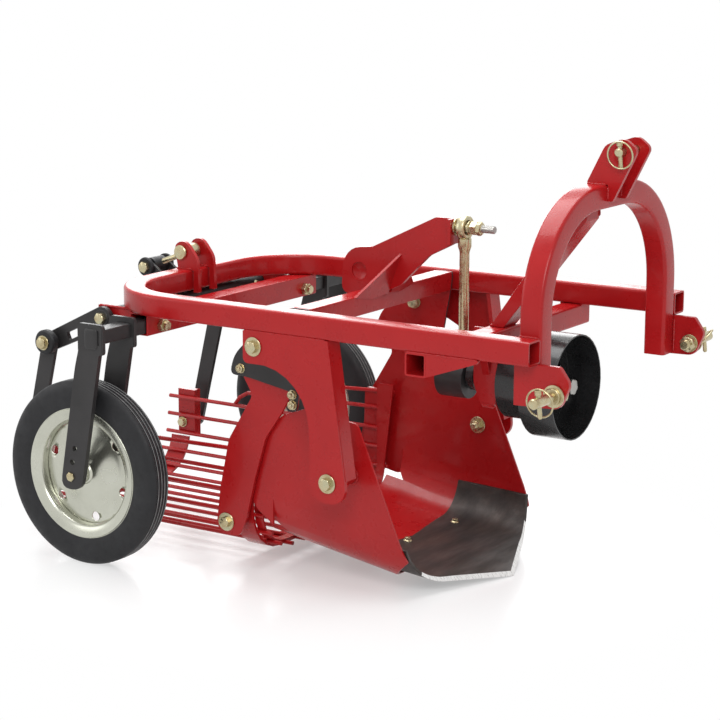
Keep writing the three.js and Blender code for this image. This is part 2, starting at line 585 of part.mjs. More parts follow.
function addWheels() {
  const { x, y, radius, tyreHalf, rimRadius } = wheel;
  for (const { name, sign } of sides) {
    const tyre = [[rimRadius, -24], [radius - 10, -tyreHalf], [radius, 10 - tyreHalf], [radius, tyreHalf - 10],
      [radius - 10, tyreHalf], [rimRadius, 24], [rimRadius, -24]];
    addNode(`tyre_${name}`, turnedY(tyre.map(([r, along]) => [r, along + sign * y]), x, radius, 40), rubber);
    const rim = [[10.5, -30], [22, -30], [22, -6], [60, -6], [92, 4], [128, 4], [128, -26], [rimRadius - gap, -26],
      [rimRadius - gap, 26], [128, 26], [128, 8], [90, 8], [58, -2], [22, -2], [22, 34], [10.5, 34], [10.5, -30]];
    const profile = rim.map(([r, along]) => [r, sign * along + sign * y]);
    const shape = turnedY(profile, x, radius, 40);
    addNode(`rim_${name}`, sign < 0 ? flipped(shape) : shape, zinc);
  }
}

addMainFrame();
addArch();
addMast();
addMastBrace();
addLowerHitch();
addCrossMembers();
addStruts();
addTrough();
addShare();
addShaft();
addRocker();
addSieve();
addHangers();
addRearRocker();
addRearClevis();
addWheelCarriers();
addWheels();

digger.position.x = originX;
digger.updateMatrixWorld(true);
export default digger;
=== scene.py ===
# Looks for a single-row potato digger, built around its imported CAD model.
# Lengths in the dictionaries are millimetres; x is counted from the front ends of the side rails.
import json
from math import pi, radians
import bmesh
import bpy
import numpy as np
from mathutils import Matrix, Vector
from mathutils.geometry import tessellate_polygon

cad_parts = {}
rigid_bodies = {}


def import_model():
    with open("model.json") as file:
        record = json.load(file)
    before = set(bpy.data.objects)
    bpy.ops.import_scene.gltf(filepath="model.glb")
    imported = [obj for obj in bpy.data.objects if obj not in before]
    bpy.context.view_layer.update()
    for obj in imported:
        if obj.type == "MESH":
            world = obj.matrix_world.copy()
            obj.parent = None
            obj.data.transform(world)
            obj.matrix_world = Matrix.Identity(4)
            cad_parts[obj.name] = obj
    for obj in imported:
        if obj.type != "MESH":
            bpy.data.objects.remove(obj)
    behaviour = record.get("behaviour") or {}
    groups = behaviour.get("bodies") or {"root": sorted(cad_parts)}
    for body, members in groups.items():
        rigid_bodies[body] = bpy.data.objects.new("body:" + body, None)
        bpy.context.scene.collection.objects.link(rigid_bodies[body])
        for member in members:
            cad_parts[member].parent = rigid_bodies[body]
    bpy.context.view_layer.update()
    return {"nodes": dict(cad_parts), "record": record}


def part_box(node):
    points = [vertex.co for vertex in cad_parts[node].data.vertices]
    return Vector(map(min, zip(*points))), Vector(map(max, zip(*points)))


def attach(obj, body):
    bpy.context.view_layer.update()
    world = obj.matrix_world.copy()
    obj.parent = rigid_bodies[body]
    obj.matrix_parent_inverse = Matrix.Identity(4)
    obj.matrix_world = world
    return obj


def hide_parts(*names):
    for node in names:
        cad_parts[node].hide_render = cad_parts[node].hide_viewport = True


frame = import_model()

nodes = frame["nodes"]
railEnd = 679.4  # from the middle of the footprint forward to the rail ends
sides = (("right", -1), ("left", 1))
print("frame loaded:", len(nodes), "nodes")


# measuring the frame
def nodeBox(name):
    # a node's box in the millimetres of this script
    low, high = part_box(name)
    shift = np.array([railEnd, 0, 0])
    return np.array(low) * 1000 - shift, np.array(high) * 1000 - shift


def nodeMiddle(name):
    low, high = nodeBox(name)
    return (low + high) / 2


def unit(vector):
    vector = np.asarray(vector, float)
    return vector / np.linalg.norm(vector)


def squareTo(axis):
    # two unit vectors square to an axis and to each other
    axis = unit(axis)
    hint = np.array([0, 0, 1.0]) if abs(axis[2]) < 0.9 else np.array([1.0, 0, 0])
    side = unit(np.cross(hint, axis))
    return side, np.cross(axis, side)


def spokes(axis, angle):
    # unit vectors square to the axis: cos t * side + sin t * up
    side, up = squareTo(axis)
    return np.cos(angle)[..., None] * side + np.sin(angle)[..., None] * up


def outward(place, axis, along, radius, angle):
    # a table of points: place + along * axis + radius * spoke
    spoke = radius[..., None] * spokes(axis, angle)
    return np.asarray(place, float) + along[..., None] * unit(axis) + spoke


# shapes: (points, list of face tables)
def gridShape(points, closeRows=False, closeCols=False):
    # quads between neighbours of a table of points; closing joins the last row or column to the first
    rows, cols = points.shape[:2]
    index = np.arange(rows * cols).reshape(rows, cols)
    low = index if closeRows else index[:-1]
    high = np.roll(index, -1, 0) if closeRows else index[1:]
    nextLow, nextHigh = np.roll(low, -1, 1), np.roll(high, -1, 1)
    if not closeCols:
        low, high, nextLow, nextHigh = low[:, :-1], high[:, :-1], nextLow[:, :-1], nextHigh[:, :-1]
    quads = np.stack([low, nextLow, nextHigh, high], -1).reshape(-1, 4)
    return points.reshape(-1, 3), [quads]


def sheetShape(top, bottom):
    # a sheet between two tables of points of one size, closed along its four borders
    rows, cols = top.shape[:2]
    points = np.concatenate([top.reshape(-1, 3), bottom.reshape(-1, 3)])
    upper = np.arange(rows * cols).reshape(rows, cols)
    lower = upper + rows * cols
    faces = [np.stack([t[:-1, :-1], t[:-1, 1:], t[1:, 1:], t[1:, :-1]], -1).reshape(-1, 4)
             for t in (upper, lower)]
    for a, b in ((upper[0], lower[0]), (upper[-1], lower[-1]),
                 (upper[:, 0], lower[:, 0]), (upper[:, -1], lower[:, -1])):
        faces.append(np.stack([a[:-1], a[1:], b[1:], b[:-1]], -1))
    return points, faces


def fullTurn(steps):
    return np.linspace(0, 2 * pi, steps, endpoint=False)


def turnedShape(profile, place, axis, steps=48):
    # point = place + along * axis + radius * (cos t * side + sin t * up), for t round a full turn
    profile = np.asarray(profile, float)
    closed = np.allclose(profile[0], profile[-1])
    if closed:
        profile = profile[:-1]
    points = outward(place, axis, profile[:, 1:], profile[:, :1], fullTurn(steps))
    return gridShape(points, closeRows=closed, closeCols=True)


def tubeShape(path, radius, hint=(0, 0, 1), count=12, closed=False):
    # point = path + radius * (cos t * side + sin t * up), side = tangent x hint
    # the ends close to a point
    path = np.asarray(path, float)
    radius = np.broadcast_to(np.asarray(radius, float), len(path)).copy()
    if closed:
        tangent = np.roll(path, -1, 0) - np.roll(path, 1, 0)
    else:
        path = np.concatenate([path[:1], path, path[-1:]])
        radius = np.concatenate([[0], radius, [0]])
        tangent = np.gradient(path, axis=0)
        tangent[0], tangent[1], tangent[-2], tangent[-1] = tangent[2], tangent[2], tangent[-3], tangent[-3]
    tangent /= np.linalg.norm(tangent, axis=1, keepdims=True)
    side = np.cross(tangent, np.asarray(hint, float))
    side /= np.linalg.norm(side, axis=1, keepdims=True)
    up = np.cross(side, tangent)
    angle = fullTurn(count)[None, :, None]
    ring = np.cos(angle) * side[:, None] + np.sin(angle) * up[:, None]
    points = path[:, None] + radius[:, None, None] * ring
    return gridShape(points, closeRows=closed, closeCols=True)


def roundedCorners(corners, closed=True, steps=5):
    # each corner (a, b, radius) becomes a quadratic curve from one radius before it to one radius after
    corners = [tuple(c) + (0,) * (3 - len(c)) for c in corners]
    count = len(corners)
    t = np.linspace(0, 1, steps)[:, None]
    parts = []
    for index, (a, b, radius) in enumerate(corners):
        corner = np.array([a, b], float)
        if radius == 0 or (not closed and index in (0, count - 1)):
            parts.append(corner[None])
            continue
        before = np.array(corners[index - 1][:2], float) - corner
        after = np.array(corners[(index + 1) % count][:2], float) - corner
        start = corner + unit(before) * min(radius, np.linalg.norm(before) * 0.49)
        end = corner + unit(after) * min(radius, np.linalg.norm(after) * 0.49)
        parts.append((1 - t) ** 2 * start + 2 * t * (1 - t) * corner + t ** 2 * end)
    return np.concatenate(parts)


def roundedBox(left, right, low, high, radius, steps=5):
    corners = [(left, low, radius), (right, low, radius), (right, high, radius), (left, high, radius)]
    return roundedCorners(corners, steps=steps)


def arc(middle, radius, angle):
    return np.stack([middle[0] + radius * np.cos(angle), middle[1] + radius * np.sin(angle)], -1)


def circle(middle, radius, steps=24):
    return arc(middle, radius, fullTurn(steps))


def plateShape(outline, holes, low, high, toSpace):
    # a flat outline with holes, carried from low to high; toSpace turns (a, b, height) into (x, y, z)
    loops = [np.asarray(outline, float)] + [np.asarray(hole, float) for hole in holes]
    flat = np.concatenate(loops)
    triangles = np.array(tessellate_polygon([[Vector((*p, 0)) for p in loop] for loop in loops]))
    count = len(flat)
    points = np.concatenate([toSpace(flat[:, 0], flat[:, 1], np.full(count, h)) for h in (low, high)])
    faces = [triangles, triangles + count]
    start = 0
    for loop in loops:
        ring = np.arange(start, start + len(loop))
        after = np.roll(ring, -1)
        faces.append(np.stack([ring, after, after + count, ring + count], -1))
        start += len(loop)
    return points, faces


def alongY(a, b, height):
    return np.stack([a, height, b], -1)


def hexShape(place, axis, across, height, turn=0.0):
    # radius(t, h) = across / 2 / cos(angle to the nearest flat), or less where the cone at the top cuts in
    angle = fullTurn(72)
    flat = (angle + pi / 6) % (pi / 3) - pi / 6
    hexagon = across / 2 / np.cos(flat)
    level = np.array([0, 0, 0.5, 0.72, 0.84, 0.93, 1, 1]) * height
    cone = across * 0.475 + (height - level) * 1.9
    radius = np.minimum(hexagon[None], cone[:, None])
    radius[0], radius[-1] = 0, 0
    return gridShape(outward(place, axis, level[:, None], radius, angle + turn), closeCols=True)


def threadShape(place, axis, radius, length, pitch=2.0):
    # radius(t, s) = radius - depth * triangle wave of (s / pitch - t / full turn); the end is chamfered
    angle = fullTurn(24)
    along = np.linspace(0, length, int(length / pitch * 6) + 2)
    phase = (along[:, None] / pitch - angle[None] / (2 * pi)) % 1
    ring = radius - 0.55 * pitch * np.abs(phase - 0.5) * 1.1
    ring = np.minimum(ring, radius - 2 + (length - along)[:, None])
    ring[0], ring[-1] = 0, 0
    return gridShape(outward(place, axis, along[:, None], ring, angle), closeCols=True)


def washerShape(place, axis, outer, inner, thick):
    rim = min(0.6, thick / 3)
    profile = [(inner, 0), (outer - rim, 0), (outer, rim), (outer, thick - rim), (outer - rim, thick),
               (inner, thick), (inner, 0)]
    return turnedShape(profile, place, axis, 48)


def rodShape(place, axis, radius, length, chamfer=1.0):
    profile = [(0, 0), (radius - chamfer, 0), (radius, chamfer), (radius, length - chamfer),
               (radius - chamfer, length), (0, length)]
    return turnedShape(profile, place, axis, 40)


def weldShape(path, radius=3.2, hint=(0, 0, 1), pitch=3.4):
    # a bead along a path: radius * (1 + a ripple of cos(2 pi s / pitch)), thinner at both ends
    path = np.asarray(path, float)
    steps = np.linalg.norm(np.diff(path, axis=0), axis=1)
    reach = np.concatenate([[0], np.cumsum(steps)])
    along = np.linspace(0, reach[-1], max(12, int(reach[-1] / pitch * 4)))
    line = np.stack([np.interp(along, reach, path[:, k]) for k in range(3)], -1)
    ripple = 1 + 0.14 * np.cos(2 * pi * along / pitch) + 0.08 * np.sin(along * 0.37)
    fade = np.clip(np.minimum(along, reach[-1] - along) / 4, 0.25, 1) ** 0.5
    return tubeShape(line, radius * ripple * fade, hint, 8)


def ringPath(place, axis, radius, start=0.0, end=360.0, steps=40):
    return np.asarray(place, float) + radius * spokes(axis, np.radians(np.linspace(start, end, steps)))


# putting a piece into the scene
def putPiece(name, shapes, material, body, hides=(), sharp=32, bevel=0.0, moreMaterials=(),
             faceMaterial=None):
    # joins shapes into one object in metres, merges doubled points and turns every shell to face out
    points = np.concatenate([shape[0] for shape in shapes])
    starts = np.cumsum([0] + [len(shape[0]) for shape in shapes[:-1]])
    tables = [table + start for shape, start in zip(shapes, starts) for table in shape[1]]
    corners = np.concatenate([table.ravel() for table in tables])
    counts = np.concatenate([np.full(len(table), table.shape[1]) for table in tables])
    mesh = bpy.data.meshes.new(name)
    mesh.vertices.add(len(points))
    mesh.vertices.foreach_set("co", ((points + (railEnd, 0, 0)) / 1000).ravel())
    mesh.loops.add(len(corners))
    mesh.loops.foreach_set("vertex_index", corners)
    mesh.polygons.add(len(counts))
    mesh.polygons.foreach_set("loop_start", np.concatenate([[0], np.cumsum(counts)[:-1]]))
    mesh.polygons.foreach_set("loop_total", counts)
    if faceMaterial is not None:
        mesh.polygons.foreach_set("material_index", faceMaterial.astype(np.int32))
    mesh.update(calc_edges=True)
    tidy = bmeshFrom(mesh, bevel > 0)
    tidy.to_mesh(mesh)
    tidy.free()
    mesh.polygons.foreach_set("use_smooth", np.ones(len(mesh.polygons), bool))
    mesh.set_sharp_from_angle(angle=radians(sharp))
    piece = bpy.data.objects.new(name, mesh)
    bpy.context.scene.collection.objects.link(piece)
    for finish in (material, *moreMaterials):
        mesh.materials.append(finish)
    if bevel > 0:
        roundEdges(piece, bevel)
    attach(piece, body)
    if hides:
        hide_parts(*hides)
    return piece


def bmeshFrom(mesh, flatten):
    tidy = bmesh.new()
    tidy.from_mesh(mesh)
    bmesh.ops.remove_doubles(tidy, verts=tidy.verts, dist=2e-6)
    bmesh.ops.recalc_face_normals(tidy, faces=tidy.faces)
    if flatten:
        bmesh.ops.dissolve_limit(tidy, angle_limit=radians(0.6), verts=tidy.verts, edges=tidy.edges,
                                 delimit={"MATERIAL"})
    return tidy


def roundEdges(piece, width, angle=34, segments=2):
    bevel = piece.modifiers.new("roundEdges", "BEVEL")
    bevel.width = width / 1000
    bevel.segments = segments
    bevel.limit_method = "ANGLE"
    bevel.angle_limit = radians(angle)
    bevel.miter_outer = "MITER_ARC"
    bevel.harden_normals = True
    return bevel


# materials
def newMaterial(name):
    material = bpy.data.materials.new(name)
    material.use_nodes = True
    tree = material.node_tree
    shader = tree.nodes["Principled BSDF"]
    coords = tree.nodes.new("ShaderNodeTexCoord")
    return material, tree, shader, coords.outputs["Object"]


def setInputs(node, values):
    for name, value in values.items():
        node.inputs[name].default_value = value


def addNoise(tree, vector, scale, detail=3.0, rough=0.5, stretch=None):
    if stretch:
        mapping = tree.nodes.new("ShaderNodeMapping")
        mapping.inputs["Scale"].default_value = stretch
        tree.links.new(vector, mapping.inputs["Vector"])
        vector = mapping.outputs["Vector"]
    noise = tree.nodes.new("ShaderNodeTexNoise")
    setInputs(noise, {"Scale": scale, "Detail": detail, "Roughness": rough})
    tree.links.new(vector, noise.inputs["Vector"])
    return noise.outputs["Fac"]


def addRamp(tree, factor, stops):
    # stops are (place from 0 to 1, colour)
    ramp = tree.nodes.new("ShaderNodeValToRGB")
    while len(ramp.color_ramp.elements) < len(stops):
        ramp.color_ramp.elements.new(0.5)
    for element, (place, colour) in zip(ramp.color_ramp.elements, stops):
        element.position = place
        element.color = (*colour, 1)
    tree.links.new(factor, ramp.inputs["Fac"])
    return ramp.outputs["Color"]


def addRange(tree, factor, low, high, fromLow=0.3, fromHigh=0.7):
    scale = tree.nodes.new("ShaderNodeMapRange")
    setInputs(scale, {"From Min": fromLow, "From Max": fromHigh, "To Min": low, "To Max": high})
    tree.links.new(factor, scale.inputs["Value"])
    return scale.outputs["Result"]


def addMath(tree, operation, first, second):
    node = tree.nodes.new("ShaderNodeMath")
    node.operation = operation
    tree.links.new(first, node.inputs[0])
    tree.links.new(second, node.inputs[1])
    return node.outputs[0]


def mixColours(tree, factor, first, second):
    # the second is a colour socket, or a fixed colour
    mix = tree.nodes.new("ShaderNodeMix")
    mix.data_type = "RGBA"
    tree.links.new(factor, mix.inputs["Factor"])
    tree.links.new(first, mix.inputs["A"])
    if isinstance(second, tuple):
        mix.inputs["B"].default_value = (*second, 1)
    else:
        tree.links.new(second, mix.inputs["B"])
    return mix.outputs["Result"]


def mixShaders(tree, factor, first, second, output):
    mix = tree.nodes.new("ShaderNodeMixShader")
    for source, place in ((factor, 0), (first, 1), (second, 2)):
        tree.links.new(source, mix.inputs[place])
    tree.links.new(mix.outputs["Shader"], tree.nodes[output].inputs["Surface"])


def addBump(tree, shader, height, strength, distance):
    bump = tree.nodes.new("ShaderNodeBump")
    setInputs(bump, {"Strength": strength, "Distance": distance})
    tree.links.new(height, bump.inputs["Height"])
    tree.links.new(bump.outputs["Normal"], shader.inputs["Normal"])


def coated(name, dark, bright, roughLow, roughHigh, coat, peel, scale=9, shine=0.24):
    # a sprayed or dipped finish: cloudy colour, uneven gloss and the fine waves of orange peel
    material, tree, shader, coords = newMaterial(name)
    cloud = addNoise(tree, coords, scale, 4)
    tree.links.new(addRamp(tree, cloud, [(0.3, dark), (0.7, bright)]), shader.inputs["Base Color"])
    rough = addRange(tree, addNoise(tree, coords, scale * 4, 3), roughLow, roughHigh)
    tree.links.new(rough, shader.inputs["Roughness"])
    setInputs(shader, {"Specular IOR Level": shine, "Coat Weight": coat, "Coat Roughness": 0.05})
    addBump(tree, shader, addNoise(tree, coords, 420, 2), peel, 0.0006)
    return material


def plated(name, colours, roughLow, roughHigh, scale, grain=900):
    # bright plating: patches of three tints that run into each other, and a fine grain
    material, tree, shader, coords = newMaterial(name)
    patch = addNoise(tree, coords, scale, 5, 0.6)
    stops = [(0.32, colours[0]), (0.5, colours[1]), (0.68, colours[2])]
    tree.links.new(addRamp(tree, patch, stops), shader.inputs["Base Color"])
    rough = addRange(tree, addNoise(tree, coords, scale * 3, 3), roughLow, roughHigh)
    tree.links.new(rough, shader.inputs["Roughness"])
    shader.inputs["Metallic"].default_value = 0.92
    addBump(tree, shader, addNoise(tree, coords, grain, 2), 0.08, 0.0004)
    return material


redPaint = coated("redPaint", (0.345, 0.0066, 0.0082), (0.395, 0.0088, 0.0102), 0.24, 0.36, 0.14, 0.04)
blackPaint = coated("blackPaint", (0.020, 0.0188, 0.0192), (0.033, 0.031, 0.0315),
                    0.36, 0.5, 0.06, 0.12, 14, 0.3)
blackPlastic = coated("blackPlastic", (0.012, 0.012, 0.0125), (0.019, 0.019, 0.020),
                      0.22, 0.34, 0.2, 0.05, 20, 0.4)
yellowZinc = plated("yellowZinc", ((0.40, 0.325, 0.18), (0.52, 0.45, 0.28), (0.48, 0.465, 0.31)),
                    0.2, 0.36, 48)
brightZinc = plated("brightZinc", ((0.46, 0.465, 0.40), (0.52, 0.525, 0.45), (0.56, 0.565, 0.49)),
                    0.2, 0.3, 7, 700)
turnedSteel = plated("turnedSteel", ((0.26, 0.25, 0.24), (0.36, 0.35, 0.33), (0.44, 0.43, 0.41)),
                     0.26, 0.4, 30)
print("finishes made")


def rubberFinish(name, dusty):
    # black rubber: dull mottling, a bloom of dust and a fine skin
    material, tree, shader, coords = newMaterial(name)
    mottle = addNoise(tree, coords, 18, 6, 0.65)
    stops = [(0.3, (0.010, 0.010, 0.011)), (0.62, (0.016, 0.016, 0.018)), (0.8, dusty)]
    tree.links.new(addRamp(tree, mottle, stops), shader.inputs["Base Color"])
    tree.links.new(addRange(tree, addNoise(tree, coords, 60, 4), 0.42, 0.62), shader.inputs["Roughness"])
    shader.inputs["Specular IOR Level"].default_value = 0.3
    addBump(tree, shader, addNoise(tree, coords, 1200, 3, 0.7), 0.2, 0.0004)
    return material


def dustyEdgeFinish():
    # the worn, dusty edges of the tread ribs
    material, tree, shader, coords = newMaterial("dustyEdge")
    dust = addNoise(tree, coords, 45, 5, 0.65)
    stops = [(0.3, (0.07, 0.07, 0.07)), (0.6, (0.20, 0.20, 0.20)), (0.8, (0.30, 0.30, 0.29))]
    tree.links.new(addRamp(tree, dust, stops), shader.inputs["Base Color"])
    tree.links.new(addRange(tree, dust, 0.5, 0.7), shader.inputs["Roughness"])
    return material


def bareSteelFinish():
    # rolled plate with its grey-brown scale, streaked across the plate, and thin rust
    material, tree, shader, coords = newMaterial("bareSteel")
    streak = addNoise(tree, coords, 14, 7, 0.62, (1.9, 0.35, 1.9))
    patch = addNoise(tree, coords, 7, 5, 0.6)
    greys = [(0.3, (0.015, 0.012, 0.011)), (0.52, (0.031, 0.026, 0.024)), (0.72, (0.062, 0.054, 0.050))]
    browns = [(0.3, (0.020, 0.013, 0.010)), (0.55, (0.042, 0.029, 0.024)), (0.75, (0.080, 0.060, 0.052))]
    grey, brown = addRamp(tree, streak, greys), addRamp(tree, streak, browns)
    scale = mixColours(tree, addRange(tree, patch, 0, 1, 0.42, 0.62), grey, brown)
    # towards the cutting edge the colour is mixed to a lighter grey in streaks, a painted highlight
    # standing in for the glints on the share
    along = tree.nodes.new("ShaderNodeSeparateXYZ")
    tree.links.new(coords, along.inputs[0])
    glintTowardsTip = addRange(tree, along.outputs["X"], 0, 0.5, 0.3, 0.44)
    paintedGlint = addMath(tree, "MULTIPLY", glintTowardsTip, addRange(tree, streak, 0.1, 1, 0.4, 0.7))
    tree.links.new(mixColours(tree, paintedGlint, scale, (0.12, 0.108, 0.103)), shader.inputs["Base Color"])
    tree.links.new(addRange(tree, streak, 0.6, 0.42), shader.inputs["Roughness"])
    setInputs(shader, {"Metallic": 0.25, "Specular IOR Level": 0.35})
    addBump(tree, shader, streak, 0.12, 0.0008)
    return material


def groundSteelFinish():
    # a freshly ground bevel: bright, with fine scratches square to the edge
    material, tree, shader, coords = newMaterial("groundSteel")
    scratch = addNoise(tree, coords, 260, 3, 0.6, (0.08, 1, 0.4))
    stops = [(0.3, (0.62, 0.61, 0.60)), (0.7, (0.86, 0.85, 0.84))]
    tree.links.new(addRamp(tree, scratch, stops), shader.inputs["Base Color"])
    tree.links.new(addRange(tree, scratch, 0.24, 0.4), shader.inputs["Roughness"])
    shader.inputs["Metallic"].default_value = 0.85
    addBump(tree, shader, scratch, 0.08, 0.0003)
    return material


tyreRubber = rubberFinish("tyreRubber", (0.0225, 0.0222, 0.023))
bushRubber = rubberFinish("bushRubber", (0.018, 0.018, 0.020))
dustyEdge = dustyEdgeFinish()
bareSteel = bareSteelFinish()
groundSteel = groundSteelFinish()


# CAD nodes that keep their shape
finishOf = {"red_paint": redPaint, "black_paint": blackPaint, "yellow_zinc": yellowZinc,
            "zinc_plate": brightZinc, "tyre": tyreRubber, "rubber": bushRubber,
            "black_plastic": blackPlastic, "bare_steel": turnedSteel}
edgeOf = {"wheel_socket": 3, "rocker_tube": 4, "shaft_bearing": 2, "sieve_grate": 0}


def mergedShell():
    # a node group that welds a loose shell, drops its stored normals and shades it smooth
    group = bpy.data.node_groups.new("mergedShell", "GeometryNodeTree")
    group.interface.new_socket("Geometry", in_out="INPUT", socket_type="NodeSocketGeometry")
    group.interface.new_socket("Geometry", in_out="OUTPUT", socket_type="NodeSocketGeometry")
    start, end = group.nodes.new("NodeGroupInput"), group.nodes.new("NodeGroupOutput")
    forget = group.nodes.new("GeometryNodeRemoveAttribute")
    forget.inputs["Name"].default_value = "custom_normal"
    weld = group.nodes.new("GeometryNodeMergeByDistance")
    weld.inputs["Distance"].default_value = 5e-6
    smooth = group.nodes.new("GeometryNodeSetShadeSmooth")
    chain = [start, forget, weld, smooth, end]
    for before, after in zip(chain, chain[1:]):
        group.links.new(before.outputs[0], after.inputs[0])
    return group


def dressNodes():
    shell = mergedShell()
    slots = {part["node"]: part["material_slot"] for part in frame["record"]["subparts"]}
    for name, node in nodes.items():
        node.data.materials.clear()
        node.data.materials.append(finishOf[slots[name]])
        weld = node.modifiers.new("mergedShell", "NODES")
        weld.node_group = shell
        width = edgeOf.get(name, 1.3)
        if width:
            flat = node.modifiers.new("flatFaces", "DECIMATE")
            flat.decimate_type = "DISSOLVE"
            flat.angle_limit = radians(0.8)
            roundEdges(node, width)
        else:
            corner = node.modifiers.new("sharpCorners", "EDGE_SPLIT")
            corner.split_angle = radians(38)


dressNodes()
print("CAD nodes dressed")


# square tubes with rounded corners
frameTube = {"size": 50, "wall": 4, "corner": 8, "bend": 213, "top": 614}
archTube = {"shoulder": 245}


def hollowTube(path, size, wall, corner, hint):
    # a rounded square carried along the path: point = path + a * (tangent x hint) + b * hint
    # the bore turns back inside
    path = np.asarray(path, float)
    tangent = np.gradient(path, axis=0)
    tangent /= np.linalg.norm(tangent, axis=1, keepdims=True)
    hint = np.asarray(hint, float)
    side = np.cross(tangent, hint)
    rings = []
    for half, radius in ((size / 2, corner), (size / 2 - wall, max(corner - wall, 2))):
        section = roundedBox(-half, half, -half, half, radius, steps=6)
        rings.append(path[:, None] + section[None, :, :1] * side[:, None] + section[None, :, 1:] * hint)
    return gridShape(np.concatenate([rings[0], rings[1][::-1]]), closeRows=True, closeCols=True)


def bend(middle, radius, start, end, steps=22):
    return arc(middle, radius, np.radians(np.linspace(start, end, steps)))


def straight(start, end, steps=6):
    return np.linspace(start, end, steps + 1)[:-1]


rearEar = {"outline": [(-1124, 612), (-1136, 672, 18), (-1102, 684, 22), (-1068, 640, 12), (-1063, 560, 3),
                       (-1079, 560), (-1079, 612)],
           "hole": (-1115, 653), "holeRadius": 8.5, "faces": (26, 36)}


def makeMainFrame():
    low, high = nodeBox("main_frame")
    size, top = frameTube["size"], frameTube["top"]
    half, rear = high[1] - size / 2, low[0] + size / 2
    radius = frameTube["bend"] - size / 2
    bendX, bendY = rear + radius, half - radius
    plan = np.concatenate([straight((0, -half), (bendX, -half)),
                           bend((bendX, -bendY), radius, 270, 180)[:-1],
                           straight((rear, -bendY), (rear, bendY)),
                           bend((bendX, bendY), radius, 180, 90)[:-1],
                           straight((bendX, half), (0, half)), [(0, half)]])
    path = np.column_stack([plan, np.full(len(plan), top - size / 2)])
    shapes = [hollowTube(path, size, frameTube["wall"], frameTube["corner"], (0, 0, 1))]
    ear = roundedCorners(rearEar["outline"])
    hole = circle(rearEar["hole"], rearEar["holeRadius"])
    for _, sign in sides:
        shapes.append(plateShape(ear, [hole], *(sign * face for face in rearEar["faces"]), alongY))
    putPiece("mainFrame", shapes, redPaint, "chassis", ["main_frame"])


def makeArch():
    low, high = nodeBox("hitch_arch")
    size = frameTube["size"]
    half, crown = high[1] - size / 2, high[2] - size / 2
    radius = archTube["shoulder"] - size / 2
    bendY, bendZ = half - radius, crown - radius
    front = np.concatenate([straight((-half, low[2]), (-half, bendZ)),
                            bend((-bendY, bendZ), radius, 180, 90)[:-1],
                            straight((-bendY, crown), (bendY, crown)),
                            bend((bendY, bendZ), radius, 90, 0)[:-1],
                            straight((half, bendZ), (half, low[2])), [(half, low[2])]])
    path = np.column_stack([np.full(len(front), (low[0] + high[0]) / 2), front])
    shapes = [hollowTube(path, size, frameTube["wall"], frameTube["corner"], (1, 0, 0))]
    putPiece("hitchArch", shapes, redPaint, "chassis", ["hitch_arch"])


def makeFrontBeam():
    low, high = nodeBox("front_beam")
    size = frameTube["size"]
    middle = low[0] + size / 2
    path = np.linspace((middle, low[1], high[2] - size / 2), (middle, high[1], high[2] - size / 2), 8)
    gusset = roundedCorners([(low[0] + size - 1, high[2]), (high[0], high[2]),
                             (high[0] - 5, high[2] - 7, 4), (low[0] + size - 1, high[2] - size + 1)])
    shapes = [hollowTube(path, size, frameTube["wall"], 7, (0, 0, 1))]
    # only the right end carries a gusset
    shapes.append(plateShape(gusset, [], low[1] + 8, low[1] + 0.4, alongY))
    putPiece("frontBeam", shapes, redPaint, "chassis", ["front_beam"])


makeMainFrame()
makeArch()
makeFrontBeam()
print("tubes made")


# wheels
tyre = {"radius": 211, "half": 31, "grooves": (-15, -5, 5, 15), "grooveHalf": 1.9, "grooveDepth": 4.5,
        "edge": 1.3, "steps": 168}
rim = {"lip": 147, "well": 119, "holes": 6, "holeTurn": 0.667, "holeCircle": 104, "holeRadius": 10.6,
       "stepRadius": 91, "dome": 21, "hubRadius": 22, "hubHalf": 34, "sheet": 2.6}


def tyreProfile():
    # (radius, across) from one bead over the tread to the other; each groove is a narrow trapezium
    radius, half = tyre["radius"], tyre["half"]
    side = [(146, 25.5), (152, 27.6), (164, half - 1.1), (178, half), (190, half - 0.6), (199, half - 2.4),
            (205.5, half - 5.6), (209.3, half - 9.6)]
    tread = []
    for groove in tyre["grooves"]:
        wide, deep, edge = tyre["grooveHalf"], radius - tyre["grooveDepth"], tyre["edge"]
        crown = radius - 0.0022 * groove ** 2
        tread += [(crown, groove - wide - edge), (crown - 0.8, groove - wide), (deep, groove - wide * 0.6),
                  (deep, groove + wide * 0.6), (crown - 0.8, groove + wide), (crown, groove + wide + edge)]
    ring = [(r, -a) for r, a in side] + tread + [(r, a) for r, a in side[::-1]] + [(124, 20), (124, -20)]
    return ring + ring[:1]


